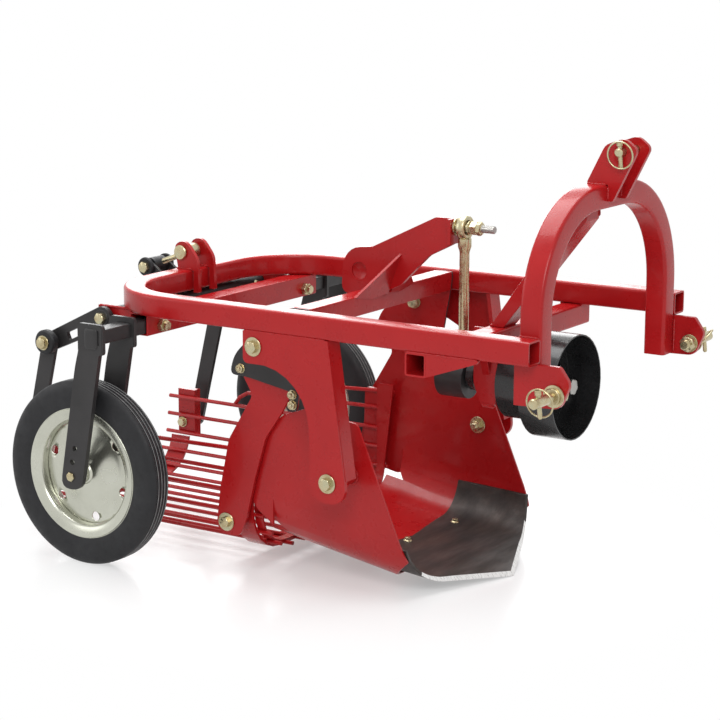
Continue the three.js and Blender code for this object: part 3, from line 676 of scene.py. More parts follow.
def webSurface(middle, axis):
    # ring of sectors, each a patch from a round hole out to its sector's border, then a dome inside them:
    # height(r) = dome * cos^2(pi r / (2 * stepRadius))
    count, circleRadius = rim["holes"], rim["holeCircle"]
    reach = circleRadius * pi / count
    outer, inner = rim["well"] - 0.3 - circleRadius, circleRadius - rim["stepRadius"]
    corners = np.array([np.arctan2(outer, reach), pi - np.arctan2(outer, reach),
                        pi + np.arctan2(inner, reach), 2 * pi - np.arctan2(inner, reach)])
    quarter = [np.linspace(a, b, n, endpoint=False) for a, b, n in (
        (corners[3] - 2 * pi, corners[0], 6), (corners[0], corners[1], 20), (corners[1], corners[2], 6),
        (corners[2], corners[3], 20))]
    turn = np.concatenate(quarter)
    cos, sin = np.cos(turn), np.sin(turn)
    limit = np.minimum(reach / np.maximum(np.abs(cos), 1e-9),
                       np.where(sin > 0, outer, inner) / np.maximum(np.abs(sin), 1e-9))
    blend = np.linspace(0, 1, 5)[:, None]
    across = (1 - blend) * rim["holeRadius"] * cos + blend * limit * cos
    radial = (1 - blend) * rim["holeRadius"] * sin + blend * limit * sin
    shapes, borders = [], []
    for number in range(count):
        centre = 2 * pi * (number + rim["holeTurn"]) / count
        sector = outward(middle, axis, radial * 0, circleRadius + radial, centre + across / circleRadius)
        shapes.append(gridShape(sector, closeCols=True))
        low = (turn >= corners[2] - 1e-9) & (turn <= corners[3] + 1e-9)
        borders.append(centre + (across[-1] / circleRadius)[low])
        borders.append(np.array([centre + reach / circleRadius]))
    angle = np.unique(np.round(np.concatenate(borders) % (2 * pi), 7))
    radius = np.array([rim["stepRadius"], 89, 86, 80, 72, 62, 52, 42, 34, 27, 21.0])
    dome = rim["dome"] * np.cos(pi / 2 * radius / rim["stepRadius"]) ** 2
    shapes.append(gridShape(outward(middle, axis, dome[:, None], radius[:, None], angle), closeCols=True))
    return shapes


def makeWheels():
    lip, well, hubRadius, hubHalf = rim["lip"], rim["well"], rim["hubRadius"], rim["hubHalf"]
    half = [(lip, 27.2), (lip - 0.4, 28.6), (lip - 3, 28.4), (lip - 9, 27), (well + 9, 25),
            (well + 4, 21.5), (well + 1, 16), (well, 9)]
    outside = half + [(r, -a) for r, a in half[::-1]]
    inside = [(r + 2.4, a * 0.93) for r, a in outside[::-1]]
    for name, sign in sides:
        body = f"wheel_{name}"
        middle = nodeMiddle(f"tyre_{name}")
        axis = (0, sign, 0)
        profile = tyreProfile()
        worn = np.zeros((len(profile) - 1, tyre["steps"]), int)
        firstRib = (len(profile) - 3 - 6 * len(tyre["grooves"])) // 2
        for groove in range(len(tyre["grooves"])):  # the two chamfered edges of each groove
            worn[[firstRib + 6 * groove, firstRib + 6 * groove + 4]] = 1
        shapes = [turnedShape(profile, middle, axis, tyre["steps"])]
        putPiece(f"tyre{name.title()}", shapes, tyreRubber, body, [f"tyre_{name}"], sharp=48,
                 moreMaterials=(dustyEdge,), faceMaterial=worn.ravel())
        hub = [(10.4, -hubHalf), (hubRadius - 1.5, -hubHalf), (hubRadius, 1.5 - hubHalf),
               (hubRadius, hubHalf - 1.5), (hubRadius - 1.5, hubHalf), (15, hubHalf), (14.4, hubHalf - 2),
               (10.4, hubHalf - 2), (10.4, -hubHalf)]
        collar = [(hubRadius - 1, rim["dome"] - 6), (hubRadius + 5, rim["dome"] - 4.5),
                  (hubRadius + 2.6, rim["dome"] + 0.4),
                  (hubRadius - 1, rim["dome"] + 3), (hubRadius - 1, rim["dome"] - 6)]
        shapes = [turnedShape(outside + inside + outside[:1], middle, axis, tyre["steps"]),
                  turnedShape(hub, middle, axis, 64), turnedShape(collar, middle, axis, 64)]
        putPiece(f"rim{name.title()}", shapes, brightZinc, body, [f"rim_{name}"], sharp=40)
        web = putPiece(f"web{name.title()}", webSurface(middle, axis), brightZinc, body, sharp=50)
        sheet = web.modifiers.new("sheet", "SOLIDIFY")
        sheet.thickness = rim["sheet"] / 1000
        sheet.offset = 0


makeWheels()
print("wheels made")


# legs of the gauge wheels
leg = {"outline": [(-1045, 562, 9), (-979, 562, 9), (-979, 503, 3), (-988, 496, 4), (-1046, 182, 28),
                   (-1106, 182, 28), (-1057, 462, 20), (-1045, 505, 8)],
       "collar": [(-1047, 496, 8), (-976.5, 496, 8), (-976.5, 563.5, 10), (-1047, 563.5, 10)],
       "spare": ((-1063, 277), (-1071, 245)), "spareRadius": 6.2, "axleHole": 7, "collarDepth": 10,
       "cap": (18.5, 24), "barEnd": 494}


def superSquare(place, half, height, sign, power=5.0):
    # a low pillow: |a / wide|^p + |b / tall|^p = s^p at height * (1 - s^6)^(1/2)
    angle = fullTurn(64)
    square = 1 / (np.abs(np.cos(angle)) ** power + np.abs(np.sin(angle)) ** power) ** (1 / power)
    size = np.array([0, 0.35, 0.6, 0.8, 0.9, 0.96, 1, 1, 0])
    lift = height * np.sqrt(np.clip(1 - size ** 6, 0, 1))
    lift[-2:] = -6
    radius = size[:, None] * square
    points = np.stack([place[0] + half[0] * radius * np.cos(angle),
                       np.broadcast_to(place[1] + sign * lift[:, None], radius.shape),
                       place[2] + half[1] * radius * np.sin(angle)], -1)
    return gridShape(points, closeCols=True)


def makeLegs():
    outline = roundedCorners(leg["outline"])
    for name, sign in sides:
        axleMiddle = nodeMiddle(f"axle_{name}")
        barLow, barHigh = nodeBox(f"wheel_bar_{name}")
        bar = (barLow + barHigh) / 2
        slot = roundedBox(bar[0] - 20.4, bar[0] + 20.4, bar[2] - 20.4, bar[2] + 12.4, 3)
        section = roundedBox(bar[0] - 20, bar[0] + 20, bar[2] - 20, bar[2] + 12, 4)
        reach = (barLow[1], leg["barEnd"]) if sign > 0 else (-leg["barEnd"], barHigh[1])
        steel = plateShape(section, [], *reach, alongY)
        putPiece(f"wheelBar{name.title()}", [steel], blackPaint, "chassis", [f"wheel_bar_{name}"])
        collar = roundedCorners(leg["collar"])
        holes = [slot, circle((axleMiddle[0], axleMiddle[2]), leg["axleHole"])]
        holes += [circle(place, leg["spareRadius"]) for place in leg["spare"]]
        for place in ("inner", "outer"):
            node = f"{place}_leg_{name}"
            low, high = nodeBox(node)
            near, far = (low[1], high[1]) if sign > 0 else (high[1], low[1])
            shapes = [plateShape(outline, holes, near, far, alongY),
                      plateShape(collar, [slot], far - sign * leg["collarDepth"], far - sign * 0.6, alongY)]
            if place == "outer":
                shapes.append(superSquare((bar[0] - 4, far, bar[2] - 8), leg["cap"], 3.4, sign))
            putPiece(f"{place}Leg{name.title()}", shapes, blackPaint, "chassis", [node], bevel=1.6)


makeLegs()
print("legs made")


# share
share = {"tip": -222, "lean": 0.42, "wallFront": -336, "steep": 16, "bendX": -310, "gentle": 5.5,
         "halfWidth": 274.7, "corner": 99.7, "thick": 8, "edge": 1.6, "bevelTip": 8, "bevelWall": 2,
         "groundTo": 236, "wall": 100, "rear": -486, "rearSweep": ([0, 126, 300], [0, 19, 38]),
         "wallFrom": -200, "wallReach": 330, "wallSlope": 0.05}


def soleHeight(x):
    # height(x) rises at the steep angle from the tip back to the bend, and at the gentle one behind it
    front = (share["tip"] - x) * np.tan(radians(share["steep"]))
    atBend = (share["tip"] - share["bendX"]) * np.tan(radians(share["steep"]))
    return np.where(x > share["bendX"], front,
                    atBend + (share["bendX"] - x) * np.tan(radians(share["gentle"])))


def shareSurface():
    # a U carried along x: y(s) and rise(s) follow its floor, quarter bend and wall by the arc length s
    # z = sole height(x) + rise(s), cut off at the top of the wall
    halfWidth, radius, thick = share["halfWidth"], share["corner"], share["thick"]
    flat = halfWidth - radius
    bendLength = radius * pi / 2
    reach = flat + bendLength + share["wall"]
    along = np.concatenate([np.linspace(0, flat, 26)[:-1], np.linspace(flat, flat + bendLength, 26)[:-1],
                            np.linspace(flat + bendLength, reach, 14)])
    along = np.concatenate([-along[:0:-1], along])
    turn = np.clip((np.abs(along) - flat) / radius, 0, pi / 2)
    wall = np.clip(np.abs(along) - flat - bendLength, 0, None)
    sign = np.sign(along)

    def section(inset):
        across = np.minimum(np.abs(along), flat) + (radius - inset) * np.sin(turn)
        rise = radius - (radius - inset) * np.cos(turn) + wall
        return sign * across, rise

    outerY, outerRise = section(0)
    front = np.maximum(share["wallFront"], share["tip"] - share["lean"] * np.abs(outerY))
    rear = share["rear"] - np.interp(np.abs(outerY), *share["rearSweep"])
    # the ground edge is widest at the tip and fades to a narrow chamfer up the walls
    bevel = np.interp(np.abs(outerY), [0, 150, share["groundTo"]],
                      [share["bevelTip"], share["bevelTip"] - 1, share["bevelWall"]])
    behind = np.concatenate([[0, 0.5, 1], np.ones(29)])
    fraction = np.concatenate([[0, 0, 0], np.linspace(0, 1, 30)[1:]])
    x = front[None] - behind[:, None] * bevel[None] + fraction[:, None] * (rear - front + bevel)[None]
    distance = front[None] - x
    depth = share["edge"] + (thick - share["edge"]) * np.clip(distance / bevel[None], 0, 1)
    innerY, innerRise = section(depth)
    wallTop = share["wall"] + np.clip(share["wallFrom"] - x, 0, share["wallReach"]) * share["wallSlope"]
    bottomZ = np.minimum(soleHeight(x) + outerRise, wallTop)
    topZ = np.minimum(soleHeight(x) + innerRise, wallTop)
    bottom = np.stack([x, np.broadcast_to(outerY, x.shape), np.maximum(bottomZ, 0)], -1)
    top = np.stack([x, innerY, np.maximum(topZ, 0.4)], -1)
    return top, bottom, np.abs(outerY)[:-1] < share["groundTo"]


def makeShare():
    top, bottom, groundCols = shareSurface()
    cols = top.shape[1]
    points, faces = sheetShape(top, bottom)
    counts = [len(face) for face in faces]
    ground = [np.zeros(count, int) for count in counts]
    ground[0][:2 * (cols - 1)] = np.tile(groundCols, 2)
    ground[2][:] = groundCols
    putPiece("sharePlate", [(points, faces)], bareSteel, "chassis", ["share"], sharp=24,
             moreMaterials=(groundSteel,), faceMaterial=np.concatenate(ground))


makeShare()
print("share made")


# bolts, nuts and pins
sideBolts = {"proud": 0.3, "armFace": 294, "sieveWall": 258, "hangerEye": 20,
             "flangeBolts": ((-747, 463), (-609, 421), (-609, 398))}


def bodyOf(node):
    return nodes[node].parent.name.split(":")[1]


def headSet(place, axis, across=24, head=10, washer=21, thick=3.4, thread=0.0, radius=8.0, turn=0.3):
    # a washer against the face at place, a hexagon on it, and the thread that stands out of it
    place, axis = np.asarray(place, float), unit(axis)
    shapes = [washerShape(place, axis, washer, 2, thick)] if washer else []
    base = place + axis * (thick if washer else 0)
    shapes.append(hexShape(base, axis, across, head, turn))
    if thread:
        shapes.append(threadShape(base + axis * (head - 1.5), axis, radius, thread + 1.5))
    return shapes


def linchPin(place, down, ringPlace, ringAxis, ring=28, wire=1.9, body=4.8):
    # a peg through the hitch pin, its head above, and the spring ring that snaps round in front of it
    place, down, ringAxis = np.asarray(place, float), unit(down), unit(ringAxis)
    peg = [(0, 0), (body * 0.6, 0.5), (body, 4), (body, 50), (0, 50)]
    shapes = [turnedShape(peg, place + down * 34, -down, 24)]
    block = [(0, 0), (6, 0), (6.8, 1), (6.8, 10), (6, 11), (0, 11)]
    shapes.append(turnedShape(block, place - down * 13, -down, 24))
    path = ringPath(ringPlace, ringAxis, ring, steps=73)[:-1]
    shapes.append(tubeShape(path, wire, ringAxis, 10, closed=True))
    return shapes


def makeStrutBolts(name, sign):
    # through the strut into the share, and the pivot of the swing arm
    out = np.array([0, sign, 0])
    outer = nodeBox("strut_left")[1][1] + sideBolts["proud"]
    shareBolt, armPivot = f"share_bolt_{name}", f"arm_pivot_{name}"
    for node, inside in ((shareBolt, share["halfWidth"]), (armPivot, sideBolts["armFace"])):
        middle = nodeMiddle(node) * (1, 0, 1)
        inner = middle + out * inside
        shapes = headSet(middle + out * outer, out, turn=0.3 + sign)
        if node == shareBolt:
            shapes += headSet(inner, -out, 24, 12, 20, 3.2, thread=9)
            shapes.append(rodShape(inner - out * 2, out, 7.9, outer - inside + 4))
        else:
            shapes += headSet(inner, -out, 27, 9, 17, 3, thread=0)
            shapes.append(rodShape(inner, out, 11, 52))
            shapes.append(rodShape(inner + out * 48, out, 8.6, outer - inside - 46))
        pieceName = node.replace("_", " ").title().replace(" ", "") + "Set"
        putPiece(pieceName, shapes, yellowZinc, bodyOf(node), [node])


def makeSieveBolts(name, sign):
    out = np.array([0, sign, 0])
    node = f"sieve_bolt_{name}"
    strap = nodeBox("swing_arm_left")[1][1] + sideBolts["proud"]
    place = nodeMiddle(node) * (1, 0, 1) + out * strap
    shapes = headSet(place, out, 22, 8.4, 21, 3, turn=0.7)
    shapes.append(rodShape(place + out * 1, -out, 8.6, strap - sideBolts["sieveWall"]))
    putPiece(f"sieveBoltSet{name.title()}", shapes, yellowZinc, bodyOf(node), [node])
    low, high = nodeBox(f"hanger_{name}")
    face, offset = high[1] if sign > 0 else low[1], sideBolts["hangerEye"]
    eye = np.array([low[0] + offset, face, low[2] + offset])
    shapes = headSet(eye + out * 0.4, out, 19, 7.5, 14, 2.6, turn=0.2)
    putPiece(f"hangerFootBolt{name.title()}", shapes, yellowZinc, "sieve")


axleSet = {"rodStart": 366, "nut": 375.7,
           "spacers": ((388.3, 13, 11.4), (468.3, 13, 15.4), (395, 10, 78)), "head": 496.2}


def makeAxle(name, sign):
    out = np.array([0, sign, 0])
    middle = nodeMiddle(f"axle_{name}") * (1, 0, 1)
    start, head = axleSet["rodStart"], axleSet["head"]
    shapes = [rodShape(middle + out * start, out, 6.8, head - start + 0.8)]
    shapes += headSet(middle + out * head, out, 19, 3.7, 0)
    shapes += headSet(middle + out * axleSet["nut"], -out, 19, 8, 0)
    for place, radius, length in axleSet["spacers"]:
        shapes.append(rodShape(middle + out * place, out, radius, length))
    putPiece(f"axleSet{name.title()}", shapes, yellowZinc, "chassis", [f"axle_{name}"])


def makeFlangeNuts(name, sign):
    low, high = nodeBox(f"arm_flange_{name}")
    face = (high[1] if sign > 0 else low[1]) + sign * 0.2
    shapes = []
    for x, z in sideBolts["flangeBolts"]:
        shapes += headSet((x, face, z), (0, sign, 0), 17, 7, 11, 1.8, thread=4, radius=5, turn=x * 0.1)
    putPiece(f"flangeNuts{name.title()}", shapes, yellowZinc, "rocker")


def makeFasteners():
    for name, sign in sides:
        for make in (makeStrutBolts, makeSieveBolts, makeAxle, makeFlangeNuts):
            make(name, sign)


hitchPin = {"stud": 10.6, "collar": 23, "groove": 8.5, "grooveAt": 418, "end": 421, "peg": 394,
            "ring": 390, "topReach": (-56, 36.4), "topPeg": (-46, -52)}


def makeTopPin():
    pin = nodeMiddle("top_link_pin")
    (start, face), (peg, ring) = hitchPin["topReach"], hitchPin["topPeg"]
    shapes = [rodShape((pin[0], start, pin[2]), (0, 1, 0), 9.4, 96, 2.5),
              *headSet((pin[0], face, pin[2]), (0, 1, 0), 27, 9, 0)]
    shapes += linchPin((pin[0], peg, pin[2]), (0.08, 0, -1), (pin[0] + 3, ring, pin[2] - 5), (0, -1, -0.1))
    putPiece("topLinkPin", shapes, yellowZinc, "chassis", ["top_link_pin"], sharp=36)


def makeLowerPins():
    stud, collar, end = hitchPin["stud"], hitchPin["collar"], hitchPin["end"]
    for name, sign in sides:
        out = np.array([0, sign, 0])
        node = f"lower_hitch_pin_{name}"
        middle = nodeMiddle(node) * (1, 0, 1)
        low, high = nodeBox(f"lower_hitch_plate_{name}")
        near, far = (low[1], high[1]) if sign > 0 else (-high[1], -low[1])
        through = far - near
        face = middle + out * (near - 0.3)
        shapes = headSet(face, -out, 32, 15, 20, 3.4, thread=13, radius=stud, turn=0.2)
        profile = [(0, 0), (stud, 0), (stud, through + 2), (collar - 1, through + 2), (collar, through + 3),
                   (collar, through + 6), (collar - 5, through + 7), (collar - 5, through + 14),
                   (collar - 6.5, through + 15.5), (stud + 0.2, through + 16),
                   (stud + 0.2, hitchPin["grooveAt"] - near),
                   (hitchPin["groove"], end - near), (0, end - near)]
        shapes.append(turnedShape(profile, middle + out * near, out, 56))
        ringAxis = (0, -1, -0.15) if sign < 0 else (0.67, 0.26, -0.69)  # the left ring is left folded back
        ringPlace = middle + out * hitchPin["ring"] - (0, 0, 3)
        shapes += linchPin(middle + out * hitchPin["peg"], (0.12, 0, -1), ringPlace, ringAxis, ring=29)
        putPiece(f"lowerHitchPin{name.title()}", shapes, yellowZinc, "chassis", [node], sharp=36)


rearBolts = {"earReach": 36.3, "padFace": 34.3, "nutFace": 43.4}


def makeRearBolts():
    middle, reach = nodeMiddle("rear_ear_bolt"), rearBolts["earReach"]
    shapes = [rodShape((middle[0], -37, middle[2]), (0, 1, 0), 7.9, 74)]
    flatHead = [(0, 0), (16.5, 0), (17.5, 1), (17.5, 4.5), (15.5, 6.3), (0, 7)]
    shapes.append(turnedShape(flatHead, (middle[0], -reach, middle[2]), (0, -1, 0), 56))
    shapes += headSet((middle[0], reach, middle[2]), (0, 1, 0), 24, 11, 15, 2.4, thread=4)
    putPiece("rearEarBolt", shapes, yellowZinc, "chassis", ["rear_ear_bolt"])
    bush = nodeMiddle("adjuster_bush")
    shapes, pads = [], []
    pad = [(0, 0), (21, 0), (23, 2), (23, 6), (20.5, 9), (0, 9)]
    for _, sign in sides:
        pads.append(turnedShape(pad, (bush[0], sign * rearBolts["padFace"], bush[2]), (0, sign, 0), 56))
        nut = (bush[0], sign * rearBolts["nutFace"], bush[2])
        shapes += headSet(nut, (0, sign, 0), 24, 9, 0, thread=3 if sign > 0 else 0)
    putPiece("adjusterPads", pads, bushRubber, "chassis")
    putPiece("adjusterBolt", shapes, yellowZinc, "chassis")


yoke = {"shaft": 20, "shaftZ": 537, "rocker": 26, "hanger": 22, "plate": (306, 318),
        "window": (46, 116, -15, 3), "arm": (26, 34), "armEnds": (20.4, 16), "bush": 29, "reach": 320,
        "pin": 310, "bushFace": 332.6, "nutFace": 352.8, "keeper": 255}


def barPlan(start, startRadius, end, endRadius):
    # the outline of a flat bar round two points: half a circle at each, joined by straight edges
    start, end = np.asarray(start, float), np.asarray(end, float)
    heading = np.degrees(np.arctan2(*(end - start)[::-1]))
    return np.concatenate([bend(end, endRadius, heading - 90, heading + 90),
                           bend(start, startRadius, heading + 90, heading + 270)])


def beside(place, y):
    # a place (x, z) moved out to y
    return place[0], y, place[1]


def makeYoke():
    # each side has a plate with a long window between the rocker shaft and the hanger's pivot
    low, high = nodeBox("rear_rocker")
    shaft = np.array([high[0] - yoke["rocker"], yoke["shaftZ"]])
    hangTop = np.array([low[0] + yoke["hanger"], low[2] + yoke["hanger"]])
    eye = nodeMiddle("adjuster_bush")[[0, 2]]
    length = np.linalg.norm(hangTop - shaft)
    along = (hangTop - shaft) / length
    across = np.array([along[1], -along[0]])
    start, end, under, over = yoke["window"]
    window = roundedBox(start, end, under, over, 4)
    window = shaft + window[:, :1] * along + window[:, 1:] * across
    plan = barPlan(shaft, yoke["rocker"], hangTop, yoke["hanger"])
    reach = yoke["reach"]
    shapes = [rodShape(beside(shaft, -reach), (0, 1, 0), yoke["shaft"], 2 * reach, 1.5)]
    bolts, bushes = [], []
    radius = yoke["bush"]
    bush = [(0, 0), (radius - 2, 0), (radius, 2), (radius, 14),
            (radius - 3, 18), (radius - 9, 19.5), (0, 20)]
    for _, sign in sides:
        out = np.array([0, sign, 0])
        shapes.append(plateShape(plan, [window], sign * yoke["plate"][0], sign * yoke["plate"][1], alongY))
        shapes.append(rodShape(beside(hangTop, sign * yoke["pin"]), out, 11, 30))
        arm = barPlan(shaft, yoke["armEnds"][0], eye, yoke["armEnds"][1])
        shapes.append(plateShape(arm, [], sign * yoke["arm"][0], sign * yoke["arm"][1], alongY))
        bushes.append(turnedShape(bush, beside(hangTop, sign * yoke["bushFace"]), out, 64))
        bolts += headSet(beside(hangTop, sign * yoke["nutFace"]), out, 24, 8, 17, 3, turn=0.1)
        bolts += headSet(beside(shaft, sign * (reach + 0.3)), out, 24, 9, 0, turn=0.5)
        keeper = (shaft[0] + yoke["shaft"] - 1, sign * yoke["keeper"], shaft[1])
        bolts += headSet(keeper, (1, 0, 0), 17, 7, 0, thread=4, radius=5)
    putPiece("rearYoke", shapes, blackPaint, bodyOf("rear_rocker"), ["rear_rocker"], bevel=1.2)
    putPiece("yokeBushes", bushes, bushRubber, "chassis")
    putPiece("yokeBolts", bolts, yellowZinc, "chassis")


clamp = {"y": 285, "z": 532}


def makeClampBolts():
    # the clamp screw and its welded nut on the front of the cross tube, one for each sliding bar
    front = nodeBox("wheel_socket")[1][0]
    shapes = []
    for _, sign in sides:
        for gap, across, head, turn in ((0.2, 27, 11, 0.4), (11, 19, 9, 0.9)):
            place = (front + gap, sign * clamp["y"], clamp["z"])
            shapes += headSet(place, (1, 0, 0), across, head, 0, turn=turn)
    putPiece("clampBolts", shapes, yellowZinc, "chassis")


flange = {"inner": 3.2, "gap": 0.1, "pivotHole": 12,
          "outline": [(-566, 590, 10), (-592, 440, 40), (-600, 384, 8), (-618, 384, 8), (-620, 427, 4),
                      (-735, 446, 16), (-778, 446, 18), (-766, 492, 22), (-690, 566, 30), (-620, 612, 20),
                      (-566, 612, 4)]}


def makeArmFlanges():
    # a red plate against the arm and a black one outside it
    plan = roundedCorners(flange["outline"])
    hole = circle(nodeMiddle("arm_pivot_right")[[0, 2]], flange["pivotHole"])
    for name, sign in sides:
        node = f"arm_flange_{name}"
        low, high = nodeBox(node)
        near, far = (low[1], high[1]) if sign > 0 else (high[1], low[1])
        inside = near + sign * flange["inner"]
        red = plateShape(plan, [hole], near, inside, alongY)
        black = plateShape(plan, [hole], inside + sign * flange["gap"], far, alongY)
        putPiece(f"armFlangeInner{name.title()}", [red], redPaint, "rocker", bevel=0.8)
        putPiece(f"armFlange{name.title()}", [black], blackPaint, "rocker", [node], bevel=0.8)


hubPlug = {"place": (-631, 0, 650), "profile": [(0, 0), (14, 0.4), (18.5, 2.6), (20.2, 2.8)]}


def makeHubPlug():
    # the lever's hub hole is closed by a shallow dished cap
    cap = hubPlug["profile"] + [(radius, -height) for radius, height in hubPlug["profile"][::-1]]
    putPiece("hubPlug", [turnedShape(cap, hubPlug["place"], (0, 1, 0), 48)], redPaint, "rocker")


floorBolts = ((-466, 155), (-466, -155), (-477, -37))


def makeShareBolts():
    # low square-necked heads on the share floor near its rear edge
    dome = [(0, 4.2), (3, 4), (6.5, 3), (9, 1.4), (10, 0), (10, -5), (0, -5)]
    slope = radians(share["gentle"])
    up = (np.sin(slope), 0, np.cos(slope))
    shapes = []
    for x, y in floorBolts:
        place = (x, y, soleHeight(x) + share["thick"])
        shapes += [turnedShape(dome, place, up, 32), hexShape(place, up, 13, 7.5, x)]
    putPiece("shareFloorBolts", shapes, yellowZinc, "chassis")


flanks = {"faces": (274.85, 280.15), "start": [(-678, 112, 2), (-678, 184, 2), (-733.7, 184, 2)],
          "right": [(-732, 158, 8), (-720, 141, 12), (-703, 130, 10), (-686, 118, 4)],
          "left": [(-733, 112, 6), (-700, 106, 4)]}


def makeTroughFlanks():
    # the rear lower corner of each trough wall, just outside the mouth of the sieve
    shapes = []
    for name, sign in sides:
        plan = roundedCorners(flanks["start"] + flanks[name])
        shapes.append(plateShape(plan, [], *(sign * face for face in flanks["faces"]), alongY))
    putPiece("troughFlanks", shapes, redPaint, "chassis")


bracketNut = (-1352, 266.1, 148)


def makeBracketNuts():
    # inner ends of the pins that the hangers turn on
    for name, sign in sides:
        place = np.array(bracketNut) * (1, sign, 1)
        inward = np.array([0, -sign, 0])
        shapes = [washerShape(place, inward, 14, 2, 2), hexShape(place + inward * 2, inward, 19, 8, 0.4)]
        putPiece(f"bracketNut{name.title()}", shapes, yellowZinc, "sieve")


makeTroughFlanks()
makeBracketNuts()
makeFasteners()
makeTopPin()
makeLowerPins()
makeRearBolts()
makeYoke()
makeClampBolts()
makeArmFlanges()
makeHubPlug()
makeShareBolts()
print("fasteners made")


# drive: connecting rod, lever stud and splined shaft
drive = {"eyeOuter": 28, "eyeInner": 17, "eyeHalf": 10, "rod": 11, "neck": 15, "splines": 6,
         "splineDepth": 1.7, "flange": 36, "studWashers": ((19, 5), (14, 4.5)),
         "eyeWashers": ((17, 3), (14, 2.6)), "eyeNuts": ((15, 0.2), (9, 0.9))}


def makeRod():
    low, high = nodeBox("connecting_rod")
    eyeX, eyeZ = (low[0] + high[0]) / 2, nodeMiddle("lever_stud")[2]
    outer, inner, half = drive["eyeOuter"], drive["eyeInner"], drive["eyeHalf"]
    ring = roundedCorners([(inner, -half, 1), (outer - 3, -half, 3), (outer, 0, 9), (outer - 3, half, 3),
                           (inner, half, 1)], closed=False)
    ring = np.concatenate([ring, ring[:1]])
    top = eyeZ - outer + 6
    stem = [(0, 0), (drive["rod"] + 1.5, 0), (drive["neck"], 3), (drive["neck"], 20),
            (drive["rod"] + 0.6, 30), (drive["rod"], 34),
            (drive["rod"], top - low[2] - 1), (drive["rod"] - 1, top - low[2]), (0, top - low[2])]
    shapes = [turnedShape(ring, (eyeX, 0, eyeZ), (1, 0, 0), 72),
              turnedShape(stem, (eyeX, 0, top), (0, 0, -1), 48)]
    putPiece("connectingRod", shapes, yellowZinc, "connecting_rod", ["connecting_rod"], sharp=34)


def makeStud():
    low, high = nodeBox("lever_stud")
    z = nodeMiddle("lever_stud")[2]
    eyeX = nodeMiddle("connecting_rod")[0]
    inner, half = drive["eyeInner"], drive["eyeHalf"]
    # the ball turns with the stud inside the eye
    ball = [(10, -half - 3), (12.5, -half - 3), (inner - 1.2, -4), (inner - 0.6, 0), (inner - 1.2, 4),
            (12.5, half + 3), (10, half + 3), (10, -half - 3)]
    shapes = [rodShape((low[0], 0, z), (1, 0, 0), 9, high[0] - low[0] - 32),
              turnedShape(ball, (eyeX, 0, z), (1, 0, 0), 56)]
    for x, washers in ((low[0], drive["studWashers"]), (eyeX + half + 3.2, drive["eyeWashers"])):
        for radius, thick in washers:
            shapes.append(washerShape((x, 0, z), (1, 0, 0), radius, 2, thick))
            x += thick
    for head, turn in drive["eyeNuts"]:
        shapes.append(hexShape((x, 0, z), (1, 0, 0), 27, head, turn))
        x += head
    putPiece("leverStud", shapes, yellowZinc, "rocker", ["lever_stud"])
    start = eyeX + 41
    thread = threadShape((start, 0, z), (1, 0, 0), 8.6, high[0] - start, 1.8)
    putPiece("leverStudThread", [thread], turnedSteel, "rocker")


def makeShaft():
    # splines: radius(t) = outer - depth * a soft square wave of (number * t)
    low, high = nodeBox("crank_shaft")
    z = nodeMiddle("shaft_guard")[2]
    edge = drive["flange"]
    face = [(0, 0), (edge - 1.5, 0), (edge, 1.5), (edge, 18.5),
            (edge - 1.5, 20), (edge - 6, 20.5), (0, 20.5)]
    back = [(0, 20), (20, 20), (20, 178), (19, 180), (17, 184), (0, 184)]
    putPiece("crankFlange", [turnedShape(face, (low[0], 0, z), (1, 0, 0), 64)], blackPlastic, "crank_shaft")
    angle = fullTurn(180)
    wave = np.clip(np.sin(angle * drive["splines"]) * 3.2, -1, 1) * 0.5 + 0.5
    along = np.array([180, 182, 184, 226, 228, 229, 240, 248.5, high[0] - low[0], high[0] - low[0]])
    outer = np.array([0, 16.5, 17.4, 17.4, 15, 15, 17.4, 17.4, 16, 0])
    radius = outer[:, None] - drive["splineDepth"] * wave[None] * (outer[:, None] > 15.2)
    points = np.stack([np.broadcast_to(low[0] + along[:, None], radius.shape), radius * np.cos(angle),
                       z + radius * np.sin(angle)], -1)
    shapes = [turnedShape(back, (low[0], 0, z), (1, 0, 0), 64), gridShape(points, closeCols=True)]
    putPiece("crankShaft", shapes, turnedSteel, "crank_shaft", ["crank_shaft"], sharp=30)


makeRod()
makeStud()
makeShaft()
print("drive made")


# welds and small plates
def makeGusset():
    # a thin plate with four corners, from each side of the lever down to the rocker tube
    top = nodeBox("rocker_tube")[1][2]
    plan = ((-521, 5.5, 698), (-567, 122, top - 1), (-567, 60, top - 12), (-556, 5.5, top - 6))
    walls = np.array([[i, (i + 1) % 4, (i + 1) % 4 + 4, i + 4] for i in range(4)])
    shapes = []
    for _, sign in sides:
        corners = np.array(plan) * (1, sign, 1)
        normal = unit(np.cross(corners[1] - corners[0], corners[3] - corners[0])) * 3
        points = np.concatenate([corners + normal, corners - normal])
        shapes.append((points, [np.array([[0, 1, 2, 3]]), np.array([[4, 5, 6, 7]]), walls]))
        shapes.append(weldShape([(-521, sign * 7, 697), (-557, sign * 7, 614)], 3.4, (1, 0, 0)))
    putPiece("leverGussets", shapes, redPaint, "rocker", bevel=1.2)


cheek = {"front": -242, "rear": -304, "foot": 390, "faces": (46, 51)}


